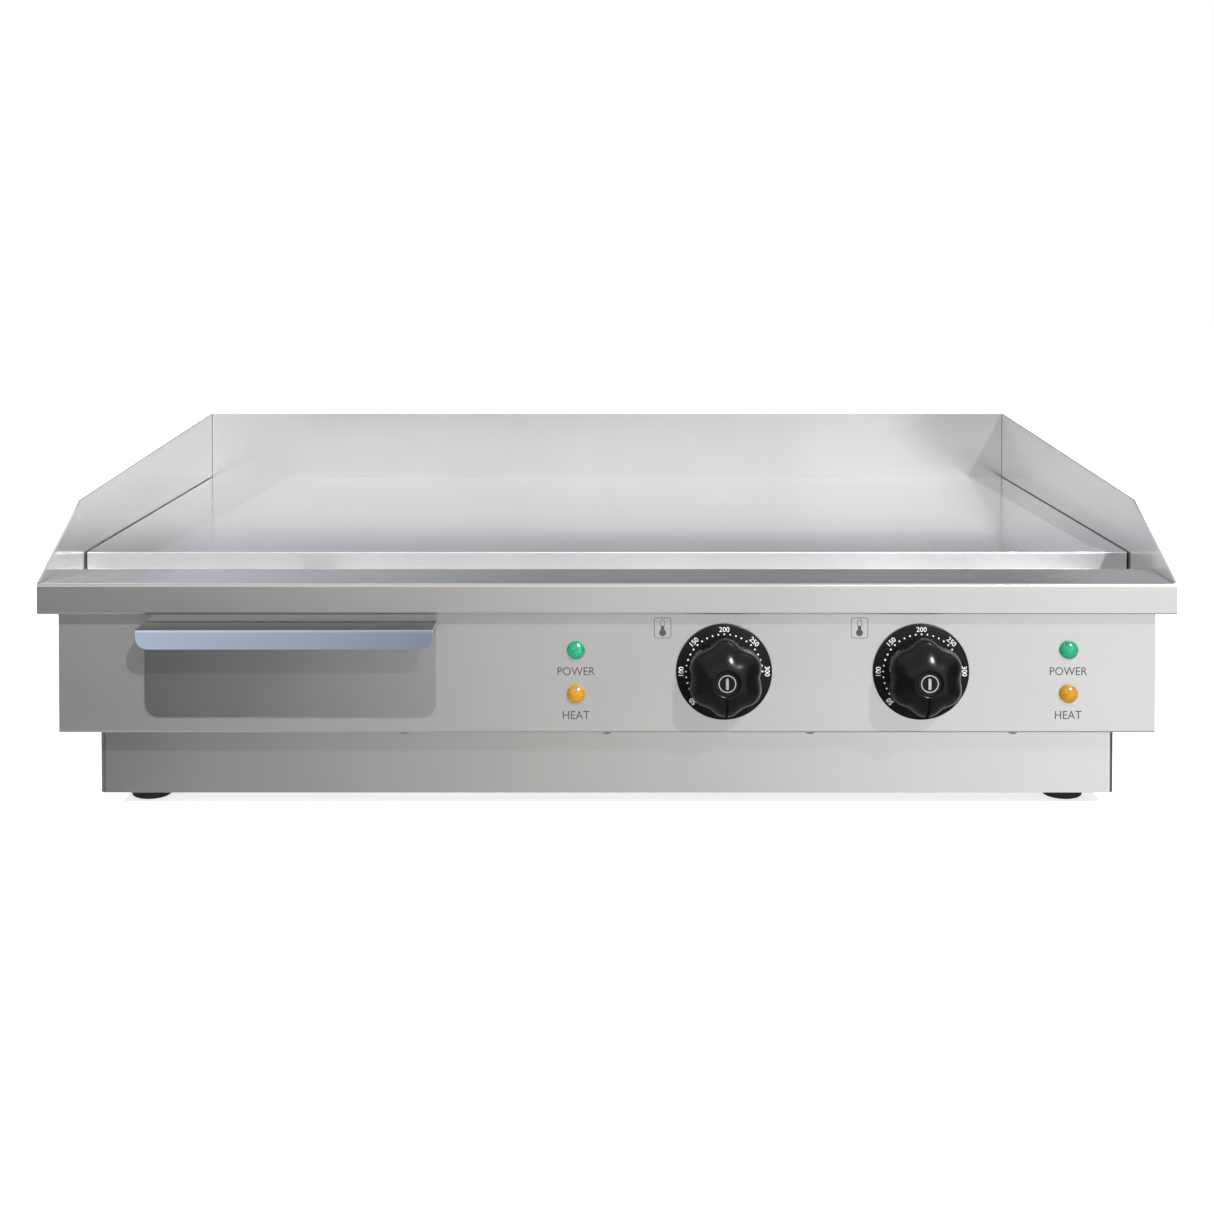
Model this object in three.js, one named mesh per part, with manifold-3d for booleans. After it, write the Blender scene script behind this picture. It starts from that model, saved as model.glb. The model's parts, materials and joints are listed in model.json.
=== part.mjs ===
// Electric flat top griddle: a steel cooking plate inside a three-sided splash guard, a grease trough in
// front of it that drains into a pull-out drawer, two heating zones with a thermostat each, and a base.
// Millimetres, X to the right, Y towards the back, Z up. While the pieces are modelled, Y = 0 is the front
// face of the lip and Z = 0 is the worktop; the last group moves the origin to the middle of the footprint.
import * as THREE from 'three';
import Module from 'manifold-3d';
import { mergeVertices } from 'three/addons/utils/BufferGeometryUtils.js';

const wasm = await Module();
wasm.setup();

// ---------------------------------------------------------------- driving dimensions
// Overall form
const WIDTH = 730;
const TOP_DEPTH = 503.4;
const TOP_SHEET = 1.5;
const BODY_SHEET = 1.2;
const GAP = 0.3;
const BEND = 0.5;
const CUT = 5; // how far a cutting solid runs past the face that it opens

// Heights, stacked from the worktop up
const FOOT_HEIGHT = 9.3;
const BASE_HEIGHT = 45.2;
const BODY_HEIGHT = 79;
const LIP_HEIGHT = 20;
const PLATE_PROUD = 2.5;
const GUARD_HEIGHT = 57.8;
const GUARD_FRONT_HEIGHT = 37.8;
const GUARD_SLOPE_START = 93.1;
const GUARD_BEND = 1;

// Setbacks of the body and of the base from the top and from each other
const BODY_INSET = 10.6;
const BODY_SETBACK = 10.5;
const BASE_INSET = 20.3;
const BASE_ROUND = 4;

// Front deck and trough
const LEDGE_DEPTH = 52.7;
const TROUGH_WIDTH = 49.2;
const TROUGH_DEPTH = 16.5;
const DRIP_OVERHANG = 3;
const PLATE_SEAT = 15;
const PLATE_THICKNESS = 12;
const PLATE_SIDE_GAP = 1.2;
const PLATE_EDGE_ROUND = 0.6;

// Flanges of the body sheets
const PANEL_FLANGE = 26;
const PANEL_RETURN = 18;
const SHELL_FLANGE = 16;
const FLOOR_UPSTAND = 12;
const BASE_FLANGE = 14;
const FOOT_INSET = 27.5;
const FOOT_RADIUS = 14.1;

// Fasteners: shank radius, head radius, head height
const SCREW = { shank: 2, head: 4, height: 2.6 };
const STUD_RADIUS = 3;
const STUD_NUT_FLATS = 10;
const STUD_NUT_HEIGHT = 4.6;
const STUD_TAIL = 0.8;
const PANEL_SCREW_PITCH = 132.35;
const PANEL_SCREW_SETBACK = 10;
const PANEL_SCREW_COUNT = 5;

// Controls: places across the panel, counted from its right end, and heights above the panel's lower edge
const RIGHT_LAMPS_FROM_END = 56.1;
const LAMPS_TO_DIAL = 95.5;
const DIAL_PITCH = 127.2;
const DIAL_HEIGHT = 40;
const GREEN_LAMP_HEIGHT = 54.1;
const AMBER_LAMP_HEIGHT = 25.6;
const DIAL_RADIUS = 31;
const DIAL_THICKNESS = 2;
const DIAL_BORE_CLEARANCE = 3;
const LENS_RADIUS = 6.2;
const LENS_DOME = 4.2;
const LENS_STEM = 4.2;
const LAMP_HOLE_CLEARANCE = 0.6;
const HOLDER_LENGTH = 22;

// Knob
const KNOB_CLEARANCE = 1;
const KNOB_LENGTH = 31;
const KNOB_NECK_RADIUS = 17;
const KNOB_NECK_LENGTH = 8;
const KNOB_LOBES = 6;
const KNOB_MEAN_RADIUS = 23.6;
const KNOB_LOBE = 1.3;
const KNOB_DOME = 8;
const KNOB_RECESS = { radius: 8, depth: 1.6 };
const KNOB_POINTER = { width: 1.5, from: 9, proud: 0.4, overhang: 1.2 };
const EMBLEM = { radius: 5.8, thickness: 0.9 };
const SHAFT_RADIUS = 3;
const SHAFT_FLAT = 1.6;
const SHAFT_GRIP = 18;
const SHAFT_IN_BODY = 8;
const SHAFT_HOLE_CLEARANCE = 1.5;
const THERMOSTAT = { width: 44, height: 34, depth: 34, collar: 3 };

// Grease drawer
const DRAWER_FROM_END = 55.9;
const DRAWER_WIDTH = 188.3;
const DRAWER_FRONT_HEIGHT = 61.4;
const DRAWER_FRONT_LIFT = 10.9;
const DRAWER_CORNER = 9;
const HANDLE_REACH = 23;
const HANDLE_DROP = 12.4;
const HANDLE_CORNER = 7.8;
const OPENING_MARGIN = 5;
const OPENING_FLOOR_LIFT = 3;
const TRAY_CLEARANCE = 1.5;
const TRAY_SHEET = 1;
const TRAY_HEIGHT = 44;
const TRAY_DEPTH = 300;
const RAIL_SIDE_CLEARANCE = 1;
const RAIL_SHELF = 9;
const RAIL_FOOT = 10;
const RAIL_GUIDE = 12;
const RAIL_SETBACK = 40;
const RAIL_LENGTH = 275;

// Drain spout
const DRAIN_RADIUS = 12.5;
const SPOUT_WALL = 1.3;
const SPOUT_FLANGE = 6;
const SPOUT_LENGTH = 18.2;

// Heating
const HEATER_RADIUS = 4;
const HEATER_PLATE_GAP = 0.5;
const HEATER_PITCH = 80;
const HEATER_FRONT_CLEARANCE = 8;
const HEATER_REAR_CLEARANCE = 31.9;
const HEATER_TAIL = 36;
const HEATER_TAIL_BEND = 12;
const ZONE_OFFSET = 165;
const CLAMP_WIDTH = 18;
const CLAMP_THICKNESS = 2.5;
const CLAMP_END = 15;
const CLAMP_PLACES = [110, 300];
const INSULATION = { below: 1, thickness: 8, front: 23, rear: 53 };
const SHIELD_LIP = 6;
const BULB = { radius: 3, length: 90, front: 148 };
const CAPILLARY_RADIUS = 1;
const CAPILLARY_DROP = 50;
const CAPILLARY_BESIDE_RAIL = 20.7;
const CUTOUT = { radius: 9, height: 11, place: 200 };

// Electrical connection
const SERVICE_FROM_END = 74;
const TERMINAL = { width: 60, depth: 24, height: 20, poles: 3, setback: 66, shift: -62 };
const GLAND = { bore: 5, thread: 8, collar: 12, collarLength: 6, dome: 10.5, domeLength: 13, inside: 10 };
const EARTH = { shank: 3, head: 5.4, headLength: 4.5, proud: 12, washer: 7, shift: 38 };
const FLOOR_CABLE_HOLE = 12;

// Air slots
const REAR_SLOT = { width: 5, height: 30, pitch: 13, count: 8, offset: 190 };
const BASE_SLOT = { width: 5, length: 60, pitch: 16, count: 6, offset: 150 };

// ---------------------------------------------------------------- levels and places worked out from them
const baseBottom = FOOT_HEIGHT;
const bodyBottom = baseBottom + BASE_HEIGHT;
const lipBottom = bodyBottom + BODY_HEIGHT;
const ledgeTop = lipBottom + LIP_HEIGHT;
const plateTop = ledgeTop + PLATE_PROUD;
const plateBottom = plateTop - PLATE_THICKNESS;
const guardTop = plateTop + GUARD_HEIGHT;
const troughFloor = ledgeTop - TROUGH_DEPTH;
const troughUnder = troughFloor - TOP_SHEET;
const seatTop = plateBottom - GAP;
const panelTop = ledgeTop - TOP_SHEET - GAP;
const floorBottom = bodyBottom + BODY_SHEET + GAP;
const floorTop = floorBottom + BODY_SHEET;
const baseTop = bodyBottom - GAP;
const baseRim = baseTop - BODY_SHEET - GAP;

const screwHole = SCREW.shank + GAP;
const studHole = STUD_RADIUS + GAP;
const lampHole = LENS_STEM + LAMP_HOLE_CLEARANCE;
const shaftHole = SHAFT_RADIUS + SHAFT_HOLE_CLEARANCE;
const dialBore = SHAFT_RADIUS + DIAL_BORE_CLEARANCE;

const halfWidth = WIDTH / 2;
const guardInner = halfWidth - TOP_SHEET;
const deckHalf = guardInner - GAP;
const plateHalf = guardInner - PLATE_SIDE_GAP;
const bodyHalf = halfWidth - BODY_INSET;
const bodyInner = bodyHalf - BODY_SHEET;
const baseHalf = bodyHalf - BASE_INSET;

const plateFront = LEDGE_DEPTH + TROUGH_WIDTH;
const guardBackInner = TOP_DEPTH - TOP_SHEET;
const plateBack = guardBackInner - GAP;
const troughRear = plateFront + DRIP_OVERHANG;
const deckBack = troughRear + PLATE_SEAT;
const panelFace = BODY_SETBACK;
const panelInner = panelFace + BODY_SHEET;
const bodyBack = TOP_DEPTH - BODY_SETBACK;
const bodyBackInner = bodyBack - BODY_SHEET;
const baseFace = panelFace + BASE_INSET;
const baseBack = bodyBack - BASE_INSET;

const rightLampX = bodyHalf - RIGHT_LAMPS_FROM_END;
const rightDialX = rightLampX - LAMPS_TO_DIAL;
const leftDialX = rightDialX - DIAL_PITCH;
const leftLampX = leftDialX - LAMPS_TO_DIAL;
const dialZ = bodyBottom + DIAL_HEIGHT;
const greenZ = bodyBottom + GREEN_LAMP_HEIGHT;
const amberZ = bodyBottom + AMBER_LAMP_HEIGHT;
const dialBack = panelFace - GAP;
const dialFront = dialBack - DIAL_THICKNESS;
const knobBack = dialFront - KNOB_CLEARANCE;
const knobFront = knobBack - KNOB_LENGTH;

const drawerLeft = -bodyHalf + DRAWER_FROM_END;
const drawerRight = drawerLeft + DRAWER_WIDTH;
const drawerX = (drawerLeft + drawerRight) / 2;
const drawerBottom = bodyBottom + DRAWER_FRONT_LIFT;
const drawerTop = drawerBottom + DRAWER_FRONT_HEIGHT;
const openingHalf = DRAWER_WIDTH / 2 - OPENING_MARGIN;
const openingBottom = drawerBottom + OPENING_FLOOR_LIFT;
const trayHalf = openingHalf - TRAY_CLEARANCE;
const trayBottom = openingBottom + TRAY_CLEARANCE;
const trayTop = trayBottom + TRAY_HEIGHT;
const openingTop = trayTop + TRAY_CLEARANCE;
const drawerFace = panelFace - GAP - BODY_SHEET;
const drainY = LEDGE_DEPTH + TROUGH_WIDTH / 2;

const heaterZ = plateBottom - HEATER_PLATE_GAP - HEATER_RADIUS;
const clampTop = heaterZ - HEATER_RADIUS - GAP;
const clampBottom = clampTop - CLAMP_THICKNESS;
const nutTop = clampBottom - GAP;
const studBottom = nutTop - STUD_NUT_HEIGHT - STUD_TAIL;
const insulationTop = studBottom - INSULATION.below;
const insulationBottom = insulationTop - INSULATION.thickness;
const shieldTop = insulationBottom - GAP;
const heaterFront = deckBack + HEATER_FRONT_CLEARANCE;
const heaterRear = guardBackInner - HEATER_REAR_CLEARANCE;
const serviceX = bodyHalf - SERVICE_FROM_END;
const serviceZ = baseBottom + BASE_HEIGHT / 2;
const zoneX = { left: -ZONE_OFFSET, right: ZONE_OFFSET };
const dialX = { left: leftDialX, right: rightDialX };

// ---------------------------------------------------------------- solids
function solid(geometry) {
  const bare = geometry.clone();
  bare.deleteAttribute('normal');
  bare.deleteAttribute('uv');
  const merged = mergeVertices(bare, 1e-4);
  const mesh = new wasm.Mesh({
    numProp: 3,
    vertProperties: new Float32Array(merged.attributes.position.array),
    triVerts: new Uint32Array(merged.index.array),
  });
  return new wasm.Manifold(mesh);
}

function geometryOf(manifold) {
  const mesh = manifold.getMesh();
  const geometry = new THREE.BufferGeometry();
  geometry.setAttribute('position', new THREE.BufferAttribute(new Float32Array(mesh.vertProperties), 3));
  geometry.setIndex(new THREE.BufferAttribute(new Uint32Array(mesh.triVerts), 1));
  geometry.computeVertexNormals();
  return geometry;
}

const union = (first, ...rest) => rest.reduce((sum, part) => sum.add(part), first);
const cut = (first, ...rest) => rest.reduce((left, part) => left.subtract(part), first);

function box(x0, x1, y0, y1, z0, z1) {
  const geometry = new THREE.BoxGeometry(x1 - x0, y1 - y0, z1 - z0);
  return solid(geometry.translate((x0 + x1) / 2, (y0 + y1) / 2, (z0 + z1) / 2));
}

function extrude(points, length) {
  const shape = new THREE.Shape(points);
  return new THREE.ExtrudeGeometry(shape, { depth: length, bevelEnabled: false, steps: 1 });
}

// Prisms whose outline is drawn in (y, z), (x, z) or (x, y)
function prismX(points, x0, x1) {
  const geometry = extrude(points, x1 - x0);
  const turn = new THREE.Matrix4().set(0, 0, 1, x0, 1, 0, 0, 0, 0, 1, 0, 0, 0, 0, 0, 1);
  return solid(geometry.applyMatrix4(turn));
}

function prismY(points, y0, y1) {
  const geometry = extrude(points, y1 - y0);
  geometry.rotateX(Math.PI / 2);
  return solid(geometry.translate(0, y1, 0));
}

function prismZ(points, z0, z1) {
  return solid(extrude(points, z1 - z0).translate(0, 0, z0));
}

function rod(axis, a, b, radius, from, to, sides = 24) {
  const geometry = new THREE.CylinderGeometry(radius, radius, to - from, sides);
  geometry.translate(0, (from + to) / 2, 0);
  if (axis === 'z') {
    geometry.rotateX(Math.PI / 2);
    geometry.translate(a, b, 0);
  } else {
    geometry.translate(a, 0, b);
  }
  return solid(geometry);
}

// A corner point path with its corners rounded, each point carrying the normal on its left-hand side
function filletPath(points, radiusOf, steps = 4) {
  const path = [];
  const direction = (from, to) => new THREE.Vector2().subVectors(to, from).normalize();
  const push = (point, heading) => {
    path.push({ point, normal: new THREE.Vector2(-heading.y, heading.x) });
  };
  points.forEach((corner, i) => {
    const before = i > 0 ? direction(points[i - 1], corner) : null;
    const after = i < points.length - 1 ? direction(corner, points[i + 1]) : null;
    if (!before || !after) {
      push(corner.clone(), before ?? after);
      return;
    }
    const turn = Math.atan2(before.cross(after), before.dot(after));
    const radius = radiusOf(turn);
    const reach = radius * Math.tan(Math.abs(turn) / 2);
    const start = corner.clone().addScaledVector(before, -reach);
    const side = new THREE.Vector2(-before.y, before.x).multiplyScalar(Math.sign(turn));
    const centre = start.clone().addScaledVector(side, radius);
    for (let k = 0; k <= steps; k += 1) {
      const angle = (turn * k) / steps;
      const heading = before.clone().rotateAround(new THREE.Vector2(), angle);
      const out = start.clone().rotateAround(centre, angle);
      push(out, heading);
    }
  });
  return path;
}

// Outline of a bent sheet: the points trace one face, and the thickness lies to the right of the way they run
function sheetOutline(corners, thickness, innerRadius) {
  const points = corners.map(([x, y]) => new THREE.Vector2(x, y));
  const path = filletPath(points, (turn) => (turn < 0 ? innerRadius + thickness : innerRadius));
  const face = path.map(({ point }) => point);
  const back = path.map(({ point, normal }) => point.clone().addScaledVector(normal, -thickness));
  return [...face, ...back.reverse()];
}

// Rectangle with all or some corners rounded: radii run from the lower left corner anticlockwise
function roundedRect(x0, x1, y0, y1, radii, steps = 4) {
  const corners = [[x0, y0, Math.PI], [x1, y0, 1.5 * Math.PI], [x1, y1, 0], [x0, y1, 0.5 * Math.PI]];
  return corners.flatMap(([x, y, start], i) => {
    const r = radii[i];
    if (r === 0) {
      return [new THREE.Vector2(x, y)];
    }
    const cx = x === x0 ? x0 + r : x1 - r;
    const cy = y === y0 ? y0 + r : y1 - r;
    return Array.from({ length: steps + 1 }, (_, k) => {
      const angle = start + (k / steps) * (Math.PI / 2);
      return new THREE.Vector2(cx + r * Math.cos(angle), cy + r * Math.sin(angle));
    });
  });
}

// Turned piece: the profile is given as (radius, height) pairs, closed on the axis or on itself
function turned(profile, sides = 24) {
  const points = profile.map(([radius, height]) => new THREE.Vector2(radius, height));
  const closed = points[0].x === 0 ? points : [...points, points[0].clone()];
  const geometry = new THREE.LatheGeometry(closed, sides);
  geometry.rotateX(Math.PI / 2);
  const body = solid(geometry);
  return body.volume() > 0 ? body : solid(flipped(geometry));
}

function flipped(geometry) {
  const copy = geometry.clone();
  const index = copy.index.array;
  for (let i = 0; i < index.length; i += 3) {
    [index[i], index[i + 1]] = [index[i + 1], index[i]];
  }
  return copy;
}

function hexagon(acrossFlats) {
  const r = acrossFlats / Math.sqrt(3);
  return Array.from({ length: 6 }, (_, k) => {
    const angle = (k * Math.PI) / 3;
    return new THREE.Vector2(r * Math.cos(angle), r * Math.sin(angle));
  });
}

// Straight stretches joined by rounded corners, in space
class RoundedRoute extends THREE.CurvePath {
  constructor(corners, radius) {
    super();
    let last = corners[0].clone();
    for (let i = 1; i < corners.length - 1; i += 1) {
      const inward = corners[i - 1].clone().sub(corners[i]).normalize();
      const outward = corners[i + 1].clone().sub(corners[i]).normalize();
      const start = corners[i].clone().addScaledVector(inward, radius);
      const end = corners[i].clone().addScaledVector(outward, radius);
      this.add(new THREE.LineCurve3(last, start));
      this.add(new THREE.QuadraticBezierCurve3(start, corners[i].clone(), end));
      last = end;
    }
    this.add(new THREE.LineCurve3(last, corners[corners.length - 1].clone()));
  }
}

function tube(route, radius, steps, sides = 8) {
  const section = Array.from({ length: sides }, (_, k) => {
    const angle = (k / sides) * 2 * Math.PI;
    return new THREE.Vector2(radius * Math.cos(angle), radius * Math.sin(angle));
  });
  const shape = new THREE.Shape(section);
  return new THREE.ExtrudeGeometry(shape, { extrudePath: route, steps, bevelEnabled: false });
}

// ---------------------------------------------------------------- looks
const finish = (color, roughness, metalness) => ({ color, roughness, metalness });
const SATIN_STEEL = finish(0xc6c5c3, 0.34, 1);
const PLATE_STEEL = finish(0xb9bbbe, 0.3, 1);
const BRIGHT_STEEL = finish(0xd0d0d0, 0.25, 1);
const ZINC_STEEL = finish(0xa8adb0, 0.45, 1);
const HEATER_STEEL = finish(0x77736d, 0.5, 1);
const BLACK_GLOSS = finish(0x101112, 0.18, 0);
const BLACK_SATIN = finish(0x17181a, 0.4, 0);
const BLACK_RUBBER = finish(0x121212, 0.85, 0);
const GREEN_LENS = finish(0x22b585, 0.2, 0);
const AMBER_LENS = finish(0xd0891a, 0.2, 0);
const GREY_PLASTIC = finish(0x56585a, 0.6, 0);
const WHITE_CERAMIC = finish(0xe8e4da, 0.5, 0);
const MINERAL_BOARD = finish(0xd9d2bf, 0.95, 0);

const model = new THREE.Group();
const assembly = new THREE.Group();
assembly.position.y = -(knobFront - KNOB_POINTER.proud + TOP_DEPTH) / 2;
model.add(assembly);

function place(name, shape, look, position = [0, 0, 0], rotation = [0, 0, 0]) {
  const geometry = shape.isBufferGeometry ? shape : geometryOf(shape);
  const mesh = new THREE.Mesh(geometry, new THREE.MeshStandardMaterial(look));
  mesh.name = name;
  mesh.position.set(...position);
  mesh.rotation.set(...rotation);
  assembly.add(mesh);
}

// Pieces built along +Z are turned to stand out of the front (-Y) or of the back (+Y)
const FACING_FRONT = [Math.PI / 2, 0, 0];
const FACING_BACK = [-Math.PI / 2, 0, 0];

// ---------------------------------------------------------------- cooking top
const studXs = [-ZONE_OFFSET, ZONE_OFFSET];
const clampYs = CLAMP_PLACES.map((place) => deckBack + place);
const studPlaces = clampYs.flatMap((y) => studXs.map((x) => [x, y]));

function griddlePlate() {
  const outline = roundedRect(plateFront, plateBack, plateBottom, plateTop,
    [0, 0, PLATE_EDGE_ROUND, PLATE_EDGE_ROUND]);
  const slab = prismX(outline, -plateHalf, plateHalf);
  const studs = studPlaces.map(([x, y]) => rod('z', x, y, STUD_RADIUS, studBottom, plateBottom + 1, 10));
  return union(slab, ...studs);
}

function frontDeck() {
  const profile = sheetOutline([
    [panelFace - GAP, lipBottom],
    [0, lipBottom],
    [0, ledgeTop],
    [LEDGE_DEPTH, ledgeTop],
    [LEDGE_DEPTH, troughFloor],
    [troughRear, troughFloor],
    [troughRear, seatTop],
    [deckBack, seatTop],
  ], TOP_SHEET, BEND);
  const deck = prismX(profile, -deckHalf, deckHalf);
  const lip = prismX(profile, -halfWidth, halfWidth)
    .intersect(box(-halfWidth, halfWidth, -1, TOP_SHEET, lipBottom, ledgeTop));
  const ends = [-deckHalf, deckHalf - TOP_SHEET].map((x) => box(x, x + TOP_SHEET,
    LEDGE_DEPTH - TOP_SHEET / 2, troughRear + TOP_SHEET / 2, troughUnder, seatTop));
  const drain = rod('z', drawerX, drainY, DRAIN_RADIUS, troughUnder - CUT, troughFloor + CUT, 20);
  return cut(union(deck, lip, ...ends), drain);
}

function splashGuard() {
  const front = TOP_SHEET + GAP;
  const wall = sheetOutline([
    [-halfWidth, front],
    [-halfWidth, TOP_DEPTH],
    [halfWidth, TOP_DEPTH],
    [halfWidth, front],
  ], TOP_SHEET, GUARD_BEND);
  const slope = (plateTop + GUARD_FRONT_HEIGHT - ledgeTop) / GUARD_SLOPE_START;
  const side = [
    [front, lipBottom],
    [TOP_DEPTH, lipBottom],
    [TOP_DEPTH, guardTop],
    [guardBackInner, guardTop],
    [GUARD_SLOPE_START, plateTop + GUARD_FRONT_HEIGHT],
    [front, ledgeTop + slope * front],
  ].map(([y, z]) => new THREE.Vector2(y, z));
  const sheet = prismZ(wall, lipBottom, guardTop).intersect(prismX(side, -halfWidth - 1, halfWidth + 1));
  const foot = cut(
    box(-guardInner - 0.5, guardInner + 0.5, panelFace, guardBackInner + 0.5,
      lipBottom, lipBottom + TOP_SHEET),
    box(-bodyHalf - GAP, bodyHalf + GAP, panelFace - 1, bodyBack + GAP, lipBottom - 1, lipBottom + CUT),
  );
  return union(sheet, foot);
}

function drainSpout() {
  const top = troughUnder - GAP;
  const outer = DRAIN_RADIUS + SPOUT_WALL;
  return turned([
    [DRAIN_RADIUS, top - SPOUT_LENGTH],
    [outer, top - SPOUT_LENGTH],
    [outer, top - SPOUT_WALL],
    [outer + SPOUT_FLANGE, top - SPOUT_WALL],
    [outer + SPOUT_FLANGE, top],
    [DRAIN_RADIUS, top],
  ], 20);
}

place('griddle_plate', griddlePlate(), PLATE_STEEL);
place('front_deck', frontDeck(), SATIN_STEEL);
place('splash_guard', splashGuard(), SATIN_STEEL);
place('drain_spout', drainSpout(), BRIGHT_STEEL, [drawerX, drainY, 0]);

// ---------------------------------------------------------------- body
const panelScrewY = panelFace + PANEL_SCREW_SETBACK;
const panelScrewXs = Array.from({ length: PANEL_SCREW_COUNT },
  (_, k) => (k - (PANEL_SCREW_COUNT - 1) / 2) * PANEL_SCREW_PITCH);
const screwHoles = panelScrewXs.map(
  (x) => rod('z', x, panelScrewY, screwHole, bodyBottom - CUT, floorTop + CUT, 8),
);

function controlPanel() {
  const profile = sheetOutline([
    [panelFace + PANEL_FLANGE, bodyBottom],
    [panelFace, bodyBottom],
    [panelFace, panelTop],
    [panelFace + PANEL_FLANGE, panelTop],
  ], BODY_SHEET, BEND);
  const returns = [-bodyHalf, bodyInner].map((x) => box(x, x + BODY_SHEET,
    panelFace + BODY_SHEET / 2, panelFace + PANEL_RETURN, bodyBottom + BEND, panelTop - BEND));
  const through = (x, z, r, sides) => rod('y', x, z, r, panelFace - CUT, panelInner + CUT, sides);
  const lampHoles = [leftLampX, rightLampX].flatMap(
    (x) => [greenZ, amberZ].map((z) => through(x, z, lampHole, 16)),
  );
  const shaftHoles = [leftDialX, rightDialX].map((x) => through(x, dialZ, shaftHole, 16));
  const bay = box(drawerX - openingHalf, drawerX + openingHalf, panelFace - CUT, panelInner + 1,
    openingBottom, openingTop);
  const sheet = union(prismX(profile, -bodyHalf, bodyHalf), ...returns);
  return cut(sheet, ...lampHoles, ...shaftHoles, bay, ...screwHoles);
}

function cabinetShell() {
  const front = panelFace + PANEL_RETURN + GAP;
  const wall = prismZ(sheetOutline([
    [-bodyHalf, front],
    [-bodyHalf, bodyBack],
    [bodyHalf, bodyBack],
    [bodyHalf, front],
  ], BODY_SHEET, BEND), bodyBottom, seatTop);
  const flange = cut(
    box(-bodyInner - 0.4, bodyInner + 0.4, deckBack + GAP, bodyBackInner + 0.4,
      seatTop - BODY_SHEET, seatTop),
    box(SHELL_FLANGE - bodyInner, bodyInner - SHELL_FLANGE, deckBack - CUT, bodyBackInner - SHELL_FLANGE,
      seatTop - CUT, seatTop + CUT),
  );
  const underTrough = box(-halfWidth, halfWidth, front - CUT, deckBack + GAP,
    troughUnder - GAP, seatTop + CUT);
  const slots = [-REAR_SLOT.offset, REAR_SLOT.offset].flatMap((centre) => Array.from(
    { length: REAR_SLOT.count },
    (_, k) => {
      const x = centre + (k - (REAR_SLOT.count - 1) / 2) * REAR_SLOT.pitch;
      const z = (bodyBottom + lipBottom) / 2;
      return box(x - REAR_SLOT.width / 2, x + REAR_SLOT.width / 2, bodyBackInner - CUT, bodyBack + CUT,
        z - REAR_SLOT.height / 2, z + REAR_SLOT.height / 2);
    },
  ));
  const overPanelFlange = box(-halfWidth, halfWidth, front - CUT, panelFace + PANEL_FLANGE + GAP,
    bodyBottom - CUT, floorBottom);
  return cut(union(wall, flange), underTrough, overPanelFlange, ...slots);
}

function cabinetFloor() {
  const half = bodyInner - GAP;
  const back = bodyBackInner - GAP;
  const tray = cut(
    box(-half, half, panelInner + GAP, back, floorBottom, floorTop + FLOOR_UPSTAND),
    box(BODY_SHEET - half, half - BODY_SHEET, panelInner - CUT, back - BODY_SHEET,
      floorTop, floorTop + FLOOR_UPSTAND + CUT),
    box(-half - 1, half + 1, panelInner - CUT, panelFace + PANEL_RETURN + 2 * GAP,
      floorTop, floorTop + FLOOR_UPSTAND + CUT),
  );
  const cable = rod('z', serviceX, baseBack - 2 * FLOOR_CABLE_HOLE, FLOOR_CABLE_HOLE,
    floorBottom - CUT, floorTop + CUT);
  return cut(tray, cable, ...screwHoles);
}

place('control_panel', controlPanel(), SATIN_STEEL);
place('cabinet_shell', cabinetShell(), SATIN_STEEL);
place('cabinet_floor', cabinetFloor(), ZINC_STEEL);

// ---------------------------------------------------------------- base and feet
const footPlaces = {
  front_left: [FOOT_INSET - baseHalf, baseFace + FOOT_INSET],
  front_right: [baseHalf - FOOT_INSET, baseFace + FOOT_INSET],
  rear_left: [FOOT_INSET - baseHalf, baseBack - FOOT_INSET],
  rear_right: [baseHalf - FOOT_INSET, baseBack - FOOT_INSET],
};
const glandHole = rod('y', serviceX, serviceZ, GLAND.thread + GAP, baseBack - 2 * CUT, baseBack + CUT, 16);
const earthHole = rod('y', serviceX + EARTH.shift, serviceZ, EARTH.shank + GAP,
  baseBack - 2 * CUT, baseBack + CUT, 8);

// Outline of the base seen from above, drawn in from its faces by the inset
function baseOutline(inset) {
  const r = BASE_ROUND - inset;
  return roundedRect(inset - baseHalf, baseHalf - inset, baseFace + inset, baseBack - inset, [r, r, r, r], 3);
}

function baseCasing() {
  const hollow = prismZ(baseOutline(BODY_SHEET), baseBottom + BODY_SHEET, baseRim + CUT);
  const slots = [-BASE_SLOT.offset, BASE_SLOT.offset].flatMap((centre) => Array.from(
    { length: BASE_SLOT.count },
    (_, k) => {
      const y = (baseFace + baseBack) / 2 + (k - (BASE_SLOT.count - 1) / 2) * BASE_SLOT.pitch;
      return box(centre - BASE_SLOT.length / 2, centre + BASE_SLOT.length / 2,
        y - BASE_SLOT.width / 2, y + BASE_SLOT.width / 2, baseBottom - CUT, baseBottom + CUT);
    },
  ));
  const footHoles = Object.values(footPlaces).map(
    ([x, y]) => rod('z', x, y, screwHole, baseBottom - CUT, baseBottom + CUT, 8),
  );
  return cut(prismZ(baseOutline(0), baseBottom, baseRim),
    hollow, glandHole, earthHole, ...slots, ...footHoles);
}

// Flat frame on the casing's rim, which the cabinet is welded to
function baseFrame() {
  return cut(
    prismZ(baseOutline(0), baseTop - BODY_SHEET, baseTop),
    box(BASE_FLANGE - baseHalf, baseHalf - BASE_FLANGE, baseFace + BASE_FLANGE, baseBack - BASE_FLANGE,
      baseTop - CUT, baseTop + CUT),
  );
}

// Rubber foot with a counterbore from below that takes the screw's head
const FOOT_RECESS = { radius: 5, depth: 5 };
const FOOT_SCREW_LIFT = 2;
const footTop = FOOT_HEIGHT - GAP;

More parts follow.
